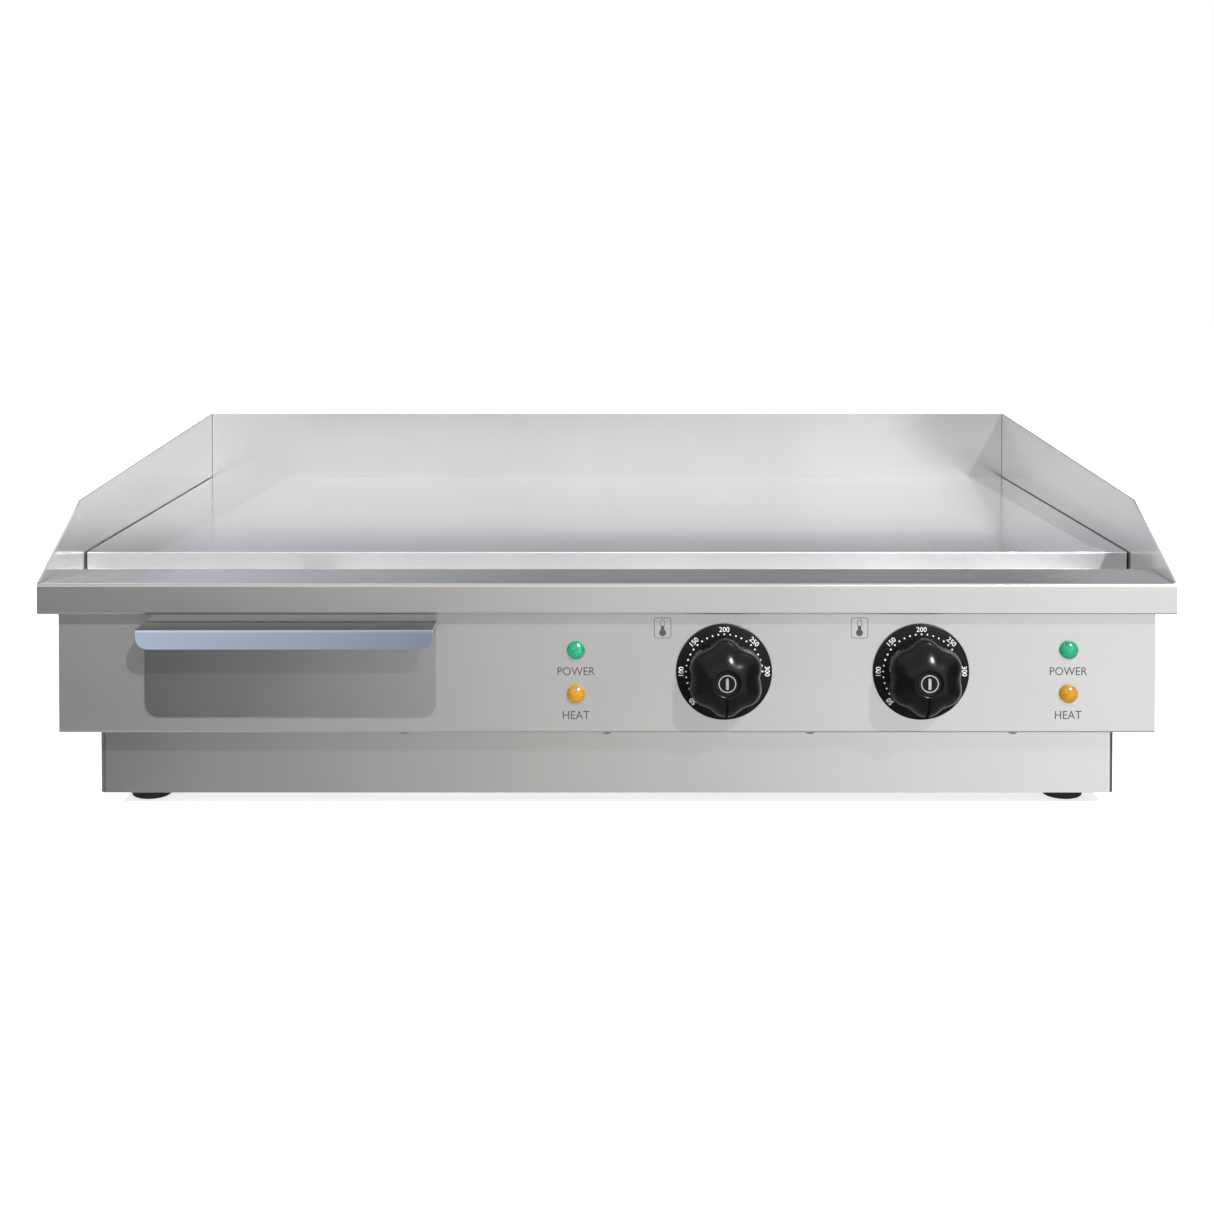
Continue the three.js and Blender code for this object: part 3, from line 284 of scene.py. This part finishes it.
# painted light: the base casing's colour brightens towards its left end, up to 1.22 times at the end
BASE_PAINTED_LIGHT = faded(sheet_steel("base_sheet_painted_light", (0.82, 0.815, 0.81), 0.17, 0.97),
                   (span_of("base_casing")[0], 0.0), 1.22, 1.0)
# painted shade: the front lip's colour dims towards its left end
LIP_PAINTED_SHADE = faded(sheet_steel("lip_sheet_painted_shade", STEEL, 0.17, METAL), LEFT_HALF, 0.78, 1.0)
# painted light: the ledge's colour is brightest at its left end and dims towards its middle
LEDGE_PAINTED_LIGHT = faded(sheet_steel("ledge_sheet_painted_light", STEEL, 0.17, METAL), LEFT_HALF, 1.5, 0.88)
# painted light: the plate's front face gets a lighter colour that brightens from its left end to its right end
PLATE_FRONT_PAINTED_LIGHT = faded(sheet_steel("plate_front_sheet_painted_light", (0.85, 0.85, 0.86), 0.25, 0.8),
                   span_of("griddle_plate"), 0.86, 1.14)
POINTER_BLACK = moulded("pointer_black", (0.002, 0.002, 0.0022), 0.6, depth=0.01, gloss=0.03)
WHITE_PRINT = printed("white_print", (0.68, 0.68, 0.68))
GREY_PRINT = printed("grey_print", (0.036, 0.038, 0.043))


# ------------------------------------------------------------------ mesh helpers
def finish_piece(name, mesh, material, body, smooth=math.radians(32)):
    piece = bpy.data.objects.new(name, mesh)
    bpy.context.scene.collection.objects.link(piece)
    mesh.materials.clear()
    mesh.materials.append(material)
    mesh.shade_smooth()
    if smooth is not None:
        mesh.set_sharp_from_angle(angle=smooth)
    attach(piece, body)
    return piece


def bevelled(node, width=0.35 * MM, segments=2, angle=35, ends=None):
    """Stands for a CAD node: a copy of its surface with the flats rejoined and the sharp edges rounded.

    With ends, the upright edges at the node's outer front corners get that radius instead. The rounding stays
    within the node's box.
    """
    bm = bmesh.new()
    bm.from_mesh(frame["nodes"][node].data)
    bmesh.ops.remove_doubles(bm, verts=bm.verts, dist=1e-6)
    bmesh.ops.dissolve_limit(bm, angle_limit=math.radians(0.5), verts=bm.verts, edges=bm.edges)
    low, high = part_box(node)

    def is_end(edge):
        a, b = (v.co for v in edge.verts)
        upright = abs(a.x - b.x) + abs(a.y - b.y) < 0.1 * MM
        return upright and a.y < low.y + 0.1 * MM and min(a.x - low.x, high.x - a.x) < 0.1 * MM

    def round_off(edges, radius):
        bmesh.ops.bevel(bm, geom=edges, offset=radius, offset_type="OFFSET", segments=segments, profile=0.5,
                        affect="EDGES", clamp_overlap=True)

    if ends:
        round_off([e for e in bm.edges if e.is_manifold and is_end(e)], ends)
    round_off([e for e in bm.edges if e.is_manifold and e.calc_face_angle(0.0) > math.radians(angle)], width)
    for vertex in bm.verts:
        vertex.co = [min(max(c, a), b) for c, a, b in zip(vertex.co, low, high)]
    name = node + "_skin"
    mesh = bpy.data.meshes.new(name)
    bm.to_mesh(mesh)
    bm.free()
    piece = finish_piece(name, mesh, LOOK[SLOT_OF[node]], BODY_OF[node], smooth=None)
    flats = piece.modifiers.new("flats", "WEIGHTED_NORMAL")
    flats.mode = "FACE_AREA"
    flats.weight = 100
    flats.use_face_influence = False
    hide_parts(node)
    return piece


def mesh_of(name, vertices, faces):
    mesh = bpy.data.meshes.new(name)
    mesh.from_pydata(vertices, [], faces)
    mesh.validate()
    mesh.update()
    return mesh


def revolve(rings, count, around):
    """Closed surface from rings of points: rings is a list of functions angle -> (radius, height)."""
    vertices, faces = [], []
    for ring in rings:
        for k in range(count):
            angle = 2 * math.pi * k / count
            radius, height = ring(angle)
            vertices.append(around @ Vector((radius * math.cos(angle), radius * math.sin(angle), height)))
    for i in range(len(rings) - 1):
        for k in range(count):
            a, b = i * count + k, i * count + (k + 1) % count
            faces.append((a, b, b + count, a + count))
    faces.append(tuple(reversed(range(count))))
    faces.append(tuple((len(rings) - 1) * count + k for k in range(count)))
    return vertices, faces


def facing_front(origin):
    """Local +Z comes out towards the viewer (-Y), and local +Y is up."""
    return Matrix.Translation(origin) @ Matrix.Rotation(math.pi / 2, 4, "X")


def prism(outline, low, high, around):
    """Flat-topped solid from an outline that runs anticlockwise in local XY."""
    n = len(outline)
    vertices = [around @ Vector((x, y, z)) for z in (low, high) for x, y in outline]
    faces = [tuple(reversed(range(n))), tuple(range(n, 2 * n))]
    faces += [(k, (k + 1) % n, n + (k + 1) % n, n + k) for k in range(n)]
    return vertices, faces


def joined(parts):
    vertices, faces = [], []
    for vs, fs in parts:
        faces += [tuple(i + len(vertices) for i in f) for f in fs]
        vertices += vs
    return vertices, faces


def arc(cx, cy, radius, start, end, steps):
    return [(cx + radius * math.cos(start + (end - start) * k / steps),
             cy + radius * math.sin(start + (end - start) * k / steps)) for k in range(steps + 1)]


def circle(radius, count):
    return arc(0, 0, radius, 0, 2 * math.pi * (count - 1) / count, count - 1)


def rounded_box(width, height, radius, steps=6):
    w, h = width / 2 - radius, height / 2 - radius
    quarter = math.pi / 2
    corners = ((-w, -h, 2), (w, -h, 3), (w, h, 0), (-w, h, 1))
    return [p for cx, cy, q in corners for p in arc(cx, cy, radius, q * quarter, (q + 1) * quarter, steps)]


def ring_band(outer, inner, low, high, around):
    """Frame between two outlines with the same number of points."""
    n = len(outer)
    vertices = []
    for outline, z in ((outer, low), (outer, high), (inner, high), (inner, low)):
        vertices += [around @ Vector((x, y, z)) for x, y in outline]
    faces = []
    for layer in range(4):
        for k in range(n):
            a, b = layer * n + k, layer * n + (k + 1) % n
            c, d = ((layer + 1) % 4) * n + (k + 1) % n, ((layer + 1) % 4) * n + k
            faces.append((a, b, c, d))
    return vertices, faces


def lettering(name, text, height, thickness, around, width=None):
    """Generic words and numbers as thin raised print, centred on the local origin."""
    curve = bpy.data.curves.new(name + "_curve", "FONT")
    curve.body = text
    curve.align_x = "CENTER"
    curve.extrude = 0.5
    curve.resolution_u = 3
    holder = bpy.data.objects.new(name + "_curve", curve)
    bpy.context.scene.collection.objects.link(holder)
    bpy.context.view_layer.update()
    mesh = bpy.data.meshes.new_from_object(holder.evaluated_get(bpy.context.evaluated_depsgraph_get()))
    bpy.data.objects.remove(holder)
    xs = [v.co.x for v in mesh.vertices]
    ys = [v.co.y for v in mesh.vertices]
    tall = height / (max(ys) - min(ys))
    wide = width / (max(xs) - min(xs)) if width else tall
    middle = Vector(((max(xs) + min(xs)) / 2, (max(ys) + min(ys)) / 2, -0.5))
    mesh.transform(around @ Matrix.Diagonal((wide, tall, thickness, 1.0)) @ Matrix.Translation(-middle))
    mesh.name = name
    return mesh


# ------------------------------------------------------------------ CAD pieces with rounded edges
EDGE_WIDTHS = {"griddle_plate": 0.35, "splash_guard": 0.3, "cabinet_shell": 0.35, "base_casing": 0.3,
               "base_frame": 0.3, "drawer_tray": 0.25, "drain_spout": 0.3, "cable_gland": 0.3,
               "earth_bolt": 0.2, "heat_shield": 0.3, "terminal_block": 0.5, "cabinet_floor": 0.3}
for part, width in EDGE_WIDTHS.items():
    bevelled(part, width * MM)
bevelled("control_panel", 0.45 * MM, ends=1.1 * MM)
for corner in ("front_left", "front_right", "rear_left", "rear_right"):
    bevelled(f"foot_{corner}", 0.5 * MM)
    bevelled(f"foot_screw_{corner}", 0.2 * MM)
for index in range(1, 6):
    bevelled(f"panel_screw_{index}", 0.2 * MM)


def drawer_front():
    """The front's flat face is steel with painted shade towards its left, the handle's hanging lip gets a
    painted bluish reflection, and its top gets painted shade.
    """
    piece = bevelled("drawer_front", 0.3 * MM, segments=3)
    piece.data.materials.append(HANDLE_LIP_PAINTED_REFLECTION)
    piece.data.materials.append(SHADED_STEEL)
    low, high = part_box("drawer_front")
    for face in piece.data.polygons:
        if face.center.y < low.y + 0.6 * MM and face.center.z < high.z - 0.6 * MM:
            face.material_index = 1
        # upward faces on the handle's top get the painted shade
        elif face.normal.z > 0.9 and face.center.z > high.z - 0.3 * MM:
            face.material_index = 2


drawer_front()
# the base casing gets the steel with painted light at its left end
bpy.data.objects["base_casing_skin"].data.materials[0] = BASE_PAINTED_LIGHT


def deck():
    """The deck's front lip gets painted shade that dims it towards its left end, and its level ledge painted
    light that dims towards its middle.
    """
    piece = bevelled("front_deck", 0.4 * MM, ends=1.0 * MM)
    piece.data.materials.append(LIP_PAINTED_SHADE)
    piece.data.materials.append(LEDGE_PAINTED_LIGHT)
    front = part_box("front_deck")[0].y
    for face in piece.data.polygons:
        if face.center.y < front + 1.0 * MM and face.normal.y < -0.5:
            face.material_index = 1
        elif face.normal.z > 0.9:
            face.material_index = 2


deck()


def plate_edge():
    """The plate's front face gets a lighter colour than the rolled top, with painted light that brightens it
    from left to right.
    """
    piece = bpy.data.objects["griddle_plate_skin"]
    piece.data.materials.append(PLATE_FRONT_PAINTED_LIGHT)
    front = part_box("griddle_plate")[0].y
    for face in piece.data.polygons:
        if face.center.y < front + 1.4 * MM and face.normal.y < -0.3:
            face.material_index = 1


plate_edge()


# ------------------------------------------------------------------ dials and knobs
NUMERALS = range(50, 301, 50)
DOTS = range(50, 301, 10)
TOP_VALUE = 200
DEGREES_PER_UNIT = 44.3 / 50
NUMERAL_RING, NUMERAL_HEIGHT = 27.8 * MM, 3.2 * MM
DOT_RING, DOT_RADIUS = 24.7 * MM, 0.55 * MM
INK = 0.06 * MM                         # thickness of the dial's print


def on_scale(face, value, radius):
    """A value's place on the dial, at that radius from the middle of its face, with up pointing outwards."""
    turn = math.radians((TOP_VALUE - value) * DEGREES_PER_UNIT)
    return facing_front(face) @ Matrix.Rotation(turn, 4, "Z") @ Matrix.Translation((0, radius, 0))


def dial(side):
    """Black disc with a bore for the spindle, and its white numerals and dots."""
    node = f"dial_plate_{side}"
    low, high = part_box(node)
    middle = centre(node)
    radius = (high.x - low.x) / 2
    thick = high.y - low.y
    back = Vector((middle.x, high.y, middle.z))
    bore = 6.0 * MM
    profile = [(bore, 0), (radius - 0.3 * MM, 0), (radius, 0.3 * MM), (radius, thick - 0.7 * MM),
               (radius - 0.25 * MM, thick - 0.25 * MM), (radius - 0.8 * MM, thick),
               (bore + 0.3 * MM, thick), (bore, thick - 0.3 * MM)]
    count = 128
    around = facing_front(back)
    vertices, faces = revolve([lambda a, r=r, z=z: (r, z) for r, z in profile], count, around)
    last = (len(profile) - 1) * count
    faces = faces[:-2] + [(last + k, last + (k + 1) % count, (k + 1) % count, k) for k in range(count)]
    mesh = mesh_of(f"dial_{side}", vertices, faces)
    piece = finish_piece(mesh.name, mesh, LOOK["dial_black"], "root")
    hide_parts(node)
    face = Vector((middle.x, low.y, middle.z))
    for value in NUMERALS:
        spot = on_scale(face, value, NUMERAL_RING)
        mesh = lettering(f"numeral_{side}_{value}", str(value), NUMERAL_HEIGHT, INK, spot)
        finish_piece(mesh.name, mesh, WHITE_PRINT, "root")
    dots = [prism(circle(DOT_RADIUS, 16), 0, INK, on_scale(face, value, DOT_RING)) for value in DOTS]
    mesh = mesh_of(f"scale_dots_{side}", *joined(dots))
    finish_piece(mesh.name, mesh, WHITE_PRINT, "root")


# Knob profile from the back of the neck to the recess: radius, height, share of the lobes; millimetres
KNOB_PROFILE = ((16.4, 0.0, 0.0), (17.0, 0.6, 0.0), (17.0, 6.6, 0.0), (17.6, 7.5, 0.05), (19.4, 8.0, 0.35),
                (22.0, 8.25, 0.85), (22.9, 8.6, 0.95), (23.4, 9.4, 1.0), (23.6, 11.0, 1.0), (23.6, 13.2, 1.0),
                (23.4, 15.4, 1.0), (23.0, 17.5, 1.0), (22.4, 19.6, 1.0), (21.5, 21.6, 0.97),
                (20.3, 23.5, 0.9), (18.7, 25.3, 0.78), (16.8, 26.9, 0.62), (14.7, 28.3, 0.44),
                (12.6, 29.4, 0.26), (10.7, 30.1, 0.12), (9.3, 30.45, 0.04), (8.6, 30.4, 0.0),
                (8.1, 30.1, 0.0), (7.9, 29.6, 0.0), (7.7, 29.2, 0.0), (7.2, 29.1, 0.0))
RIB_STRETCH = slice(9, 21)              # the profile's points between the side and the recess
RECESS_FLOOR = KNOB_PROFILE[-1][1]
LOBES, LOBE = 6, 1.3
LOBE_FULLNESS = 0.2                     # makes the lobes wider than the hollows between them
RIB_HALF_WIDTH, RIB_RISE, RIB_SUNK = 0.72, 0.35, 0.5
RIB_BEAK, RIB_BEAK_LENGTH = 0.75, 2.0   # the rib's extra rise as it goes over the lobe's edge


def knob_place(side):
    """The knob's axis at the back of its neck."""
    middle = centre(f"dial_plate_{side}")
    return facing_front(Vector((middle.x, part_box(f"knob_{side}")[1].y, middle.z)))


def knob(side):
    """Six-lobed body with a domed front, a shallow recess and a neck."""
    node = f"knob_{side}"

    def ring(radius, height, share):
        def at(angle):
            wave = math.cos(LOBES * (angle + math.pi / 2))
            swell = wave + LOBE_FULLNESS * (1 - wave * wave)
            return (radius + LOBE * share * swell) * MM, height * MM
        return at

    vertices, faces = revolve([ring(*row) for row in KNOB_PROFILE], 144, knob_place(side))
    mesh = mesh_of(node + "_body", vertices, faces)
    piece = finish_piece(mesh.name, mesh, LOOK["knob_black"], BODY_OF[node],
                         smooth=math.radians(50))
    smoother = piece.modifiers.new("smooth", "SUBSURF")
    smoother.levels = smoother.render_levels = 1
    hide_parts(node)


def pointer(side):
    """Rib that follows the dome from the recess to the edge of the bottom lobe and down its side."""
    stretch = reversed(KNOB_PROFILE[RIB_STRETCH])
    points = [(radius + LOBE * share, height) for radius, height, share in stretch]
    edge = points[-3][0]
    outer, inner = [], []
    for i, (radius, height) in enumerate(points):
        before, after = points[max(i - 1, 0)], points[min(i + 1, len(points) - 1)]
        along = Vector((after[0] - before[0], after[1] - before[1])).normalized()
        out = Vector((-along.y, along.x))
        lift = RIB_RISE + RIB_BEAK * max(0.0, radius - edge + RIB_BEAK_LENGTH) / RIB_BEAK_LENGTH
        outer.append((radius + out.x * lift, height + out.y * lift))
        inner.append((radius - out.x * RIB_SUNK, height - out.y * RIB_SUNK))
    around = knob_place(side)
    vertices, faces = [], []
    for line in (outer, inner):
        for radius, height in line:
            for x in (-RIB_HALF_WIDTH, RIB_HALF_WIDTH):
                vertices.append(around @ Vector((x * MM, -radius * MM, height * MM)))
    n = len(points)
    for i in range(n - 1):
        t0, t1, b0, b1 = 2 * i, 2 * (i + 1), 2 * (n + i), 2 * (n + i + 1)
        faces += [(t0, t1, t1 + 1, t0 + 1), (b0, b0 + 1, b1 + 1, b1),
                  (t0, b0, b1, t1), (t0 + 1, t1 + 1, b1 + 1, b0 + 1)]
    last = 2 * (n - 1)
    faces += [(0, 1, 2 * n + 1, 2 * n), (last + 1, last, 2 * n + last, 2 * n + last + 1)]
    mesh = mesh_of(f"pointer_{side}", vertices, faces)
    finish_piece(mesh.name, mesh, POINTER_BLACK, BODY_OF[f"knob_{side}"])


def emblem(side):
    """Bright ring with an upright bar, on the recess's floor."""
    node = f"knob_emblem_{side}"
    floor = knob_place(side) @ Matrix.Translation((0, 0, RECESS_FLOOR * MM))
    bar_end, rise = 0.9 * MM, 0.4 * MM
    bar = arc(0, 2.6 * MM, bar_end, 0, math.pi, 12) + arc(0, -2.9 * MM, bar_end, math.pi, 2 * math.pi, 12)
    ring = ring_band(circle(5.6 * MM, 64), circle(4.9 * MM, 64), 0, rise, floor)
    mesh = mesh_of(f"emblem_{side}", *joined([ring, prism(bar, 0, rise, floor)]))
    piece = finish_piece(mesh.name, mesh, LOOK["emblem_chrome"], BODY_OF[f"knob_{side}"])
    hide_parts(node)


for side in ("left", "right"):
    dial(side)
    knob(side)
    pointer(side)
    emblem(side)


# ------------------------------------------------------------------ pilot lamps, words and icons
PRINT = 0.05 * MM                       # thickness of the panel's print
WORD_DROP = 13.9 * MM
WORD_HEIGHT = 5.3 * MM
LENS_COLLAR = 0.9 * MM


def lamp(kind, side, width):
    """Faceted dome lens on the panel, and the printed word under it, of that width in millimetres."""
    node = f"{kind}_lens_{side}"
    low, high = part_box(node)
    middle = centre(node)
    radius = (high.x - low.x) / 2
    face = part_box("control_panel")[0].y
    rise = face - low.y
    profile = [(radius, 0.05 * MM), (radius, LENS_COLLAR)]
    facets, steps = 20, 7
    for k in range(1, steps + 1):
        angle = k / steps * math.pi / 2 * 0.94
        profile.append((radius * math.cos(angle), LENS_COLLAR + (rise - LENS_COLLAR) * math.sin(angle)))
    around = facing_front(Vector((middle.x, face, middle.z)))
    vertices, faces = revolve([lambda a, r=r, z=z: (r, z) for r, z in profile], facets, around)
    mesh = mesh_of(f"{kind}_dome_{side}", vertices, faces)
    slot = SLOT_OF[node]
    piece = finish_piece(mesh.name, mesh, LOOK[slot], "root", smooth=math.radians(12))
    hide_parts(node)
    spot = facing_front(Vector((middle.x, face, middle.z - WORD_DROP)))
    mesh = lettering(f"word_{kind}_{side}", kind.upper(), WORD_HEIGHT, PRINT, spot, width=width * MM)
    finish_piece(mesh.name, mesh, GREY_PRINT, "root")


def thermometer(side):
    """Printed icon up and to the left of a dial: a thermometer in a rounded frame."""
    middle = centre(f"dial_plate_{side}")
    left, up = 39.7 * MM, 28.3 * MM
    spot = facing_front(Vector((middle.x - left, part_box("control_panel")[0].y, middle.z + up)))
    width, height, corner, line = 11.1 * MM, 13.4 * MM, 1.7 * MM, 0.35 * MM
    border = ring_band(rounded_box(width, height, corner),
                       rounded_box(width - 2 * line, height - 2 * line, corner - line), 0, PRINT, spot)
    neck, bulb, bulb_y, level = 1.1 * MM, 2.25 * MM, -3.1 * MM, 1.4 * MM
    join = math.asin(neck / bulb)
    mercury = [(neck, level), (-neck, level)]
    mercury += arc(0, bulb_y, bulb, math.pi / 2 + join, 2.5 * math.pi - join, 24)
    glass, top_y = 1.4 * MM, 4.0 * MM
    outer, inner = ([*arc(0, top_y, reach, 0, math.pi, 10), (-reach, level), (reach, level)]
                    for reach in (glass, neck))
    tube = ring_band(outer, inner, 0, PRINT, spot)
    mesh = mesh_of(f"thermometer_{side}", *joined([border, prism(mercury, 0, PRINT, spot), tube]))
    finish_piece(mesh.name, mesh, GREY_PRINT, "root")


for side in ("left", "right"):
    lamp("power", side, 24.2)
    lamp("heat", side, 17.3)
    thermometer(side)

# ------------------------------------------------------------------ looks of the CAD's own pieces
for node, piece in frame["nodes"].items():
    piece.data.materials.clear()
    piece.data.materials.append(LOOK[SLOT_OF[node]])


# ------------------------------------------------------------------ floor and light
def make_floor():
    """Pale paper that fades into the white background."""
    reach = 6
    corners = [(-reach, -reach, 0), (reach, -reach, 0), (reach, reach, 0), (-reach, reach, 0)]
    mesh = mesh_of("floor", corners, [(0, 1, 2, 3)])
    floor = bpy.data.objects.new("floor", mesh)
    bpy.context.scene.collection.objects.link(floor)
    s = Shader("pale_floor")
    s.link(s.tinted(s.noise((3.0,) * 3), (0.58, 0.58, 0.58), (0.62, 0.62, 0.62)), s.bsdf.inputs["Base Color"])
    s.set(Roughness=0.9, Emission_Color=(1, 1, 1, 1), Emission_Strength=0.72)
    mesh.materials.append(s.material)
    floor.visible_glossy = False


def ramp(tree, source, stops):
    made = tree.nodes.new("ShaderNodeValToRGB")
    made.color_ramp.interpolation = "EASE"
    while len(made.color_ramp.elements) < len(stops):
        made.color_ramp.elements.new(0.5)
    for element, (place, value) in zip(made.color_ramp.elements, stops):
        element.position = place
        element.color = (*(value if isinstance(value, tuple) else (value,) * 3), 1.0)
    tree.links.new(source, made.inputs["Fac"])
    return made.outputs["Color"]


KEY_DIRECTION = Vector((11.4, -22.8, 20.5)).normalized()
SIDE_DIRECTION = Vector((-0.788, -0.05, 0.616)).normalized()


def make_world():
    """A studio that gets brighter from left to right in front and darker with height behind."""
    world = bpy.data.worlds.new("studio")
    bpy.context.scene.world = world
    world.use_nodes = True
    tree = world.node_tree
    tree.nodes.clear()
    new, link = tree.nodes.new, tree.links.new

    def math_node(operation, first, second=None):
        made = new("ShaderNodeMath")
        made.operation = operation
        for slot, value in zip(made.inputs, (first, second)):
            if isinstance(value, (int, float)):
                slot.default_value = value
            elif value is not None:
                link(value, slot)
        return made.outputs[0]

    def share(source, low, high):
        made = new("ShaderNodeMapRange")
        made.inputs["From Min"].default_value = low
        made.inputs["From Max"].default_value = high
        link(source, made.inputs["Value"])
        return made.outputs["Result"]

    def mix(factor, first, second, blend="MIX"):
        made = new("ShaderNodeMix")
        made.data_type, made.blend_type = "RGBA", blend
        for name, value in (("Factor", factor), ("A", first), ("B", second)):
            target = next(i for i in made.inputs if i.name == name and i.enabled)
            if isinstance(value, (int, float, tuple)):
                target.default_value = value
            else:
                link(value, target)
        return next(o for o in made.outputs if o.enabled)

    direction = new("ShaderNodeTexCoord").outputs["Generated"]
    split = new("ShaderNodeSeparateXYZ")
    link(direction, split.inputs[0])
    x, y, z = split.outputs
    across = share(x, -0.5, 0.5)
    below = ramp(tree, across, [(0.0, 0.03), (0.2, 0.05), (0.335, 0.22), (0.5, (0.50, 0.485, 0.47)),
                                (0.69, 0.78), (0.8, 0.9), (1.0, 1.0)])
    above = ramp(tree, across, [(0.0, 0.7), (0.2, 0.76), (0.36, 0.7), (0.5, 0.64), (0.64, 0.76),
                                (0.8, 0.95), (1.0, 1.0)])
    bright = mix(1.0, above, (1.2, 1.2, 1.2, 1.0), "MULTIPLY")
    front = mix(share(z, -0.15, 0.0), below, bright)
    behind = ramp(tree, share(z, -0.1, 0.5), [(0.0, 0.8), (0.36, 0.42), (0.46, (0.185, 0.205, 0.235)),
                                              (0.52, (0.1, 0.12, 0.15)), (0.7, (0.125, 0.145, 0.175)),
                                              (1.0, 0.6)])
    sideways = ramp(tree, share(x, -0.4, 0.4), [(0.0, 1.0), (0.15, 0.95), (0.35, 0.55), (0.5, 0.4),
                                                (0.75, 0.4), (0.9, 0.5), (1.0, 0.55)])
    behind = mix(1.0, mix(1.0, behind, (2.0, 2.0, 2.0, 1.0), "MULTIPLY"), sideways, "MULTIPLY")
    level = mix(share(y, 0.15, -0.15), behind, front)
    level = mix(share(math_node("ABSOLUTE", x), 0.6, 0.8), level, (0.08, 0.085, 0.095, 1.0))
    level = mix(share(z, -0.4, -0.6), level, (0.28, 0.28, 0.285, 1.0))
    overhead = mix(share(z, 0.35, 0.7), level, (0.6, 0.6, 0.6, 1.0))
    seen = new("ShaderNodeLightPath").outputs["Is Camera Ray"]
    studio = new("ShaderNodeBackground")
    towards_key = new("ShaderNodeVectorMath")
    towards_key.operation = "DOT_PRODUCT"
    link(direction, towards_key.inputs[0])
    towards_key.inputs[1].default_value = KEY_DIRECTION
    lamp_glow = math_node("MULTIPLY", share(towards_key.outputs["Value"], 0.978, 0.985), 5.0)
    glow = new("ShaderNodeCombineXYZ")
    for slot in glow.inputs:
        link(lamp_glow, slot)
    link(mix(1.0, overhead, glow.outputs[0], "ADD"), studio.inputs["Color"])
    studio.inputs["Strength"].default_value = 1.0
    paper = new("ShaderNodeBackground")
    paper.inputs["Color"].default_value = (1, 1, 1, 1)
    choose = new("ShaderNodeMixShader")
    link(seen, choose.inputs[0])
    link(studio.outputs[0], choose.inputs[1])
    link(paper.outputs[0], choose.inputs[2])
    link(choose.outputs[0], new("ShaderNodeOutputWorld").inputs["Surface"])


def make_light(name, direction, energy, mirrored=True):
    """A small source with crisp shadows, which the steel reflects as a highlight only when it's mirrored."""
    data = bpy.data.lights.new(name, "SUN")
    data.energy = energy
    data.angle = math.radians(1.2)
    light = bpy.data.objects.new(name, data)
    light.rotation_mode = "QUATERNION"
    light.rotation_quaternion = direction.to_track_quat("Z", "Y")
    light.visible_glossy = mirrored
    bpy.context.scene.collection.objects.link(light)


make_floor()
make_world()
make_light("key", KEY_DIRECTION, 4.6)
make_light("side", SIDE_DIRECTION, 3.4, mirrored=False)
bpy.context.scene.view_settings.view_transform = "Standard"
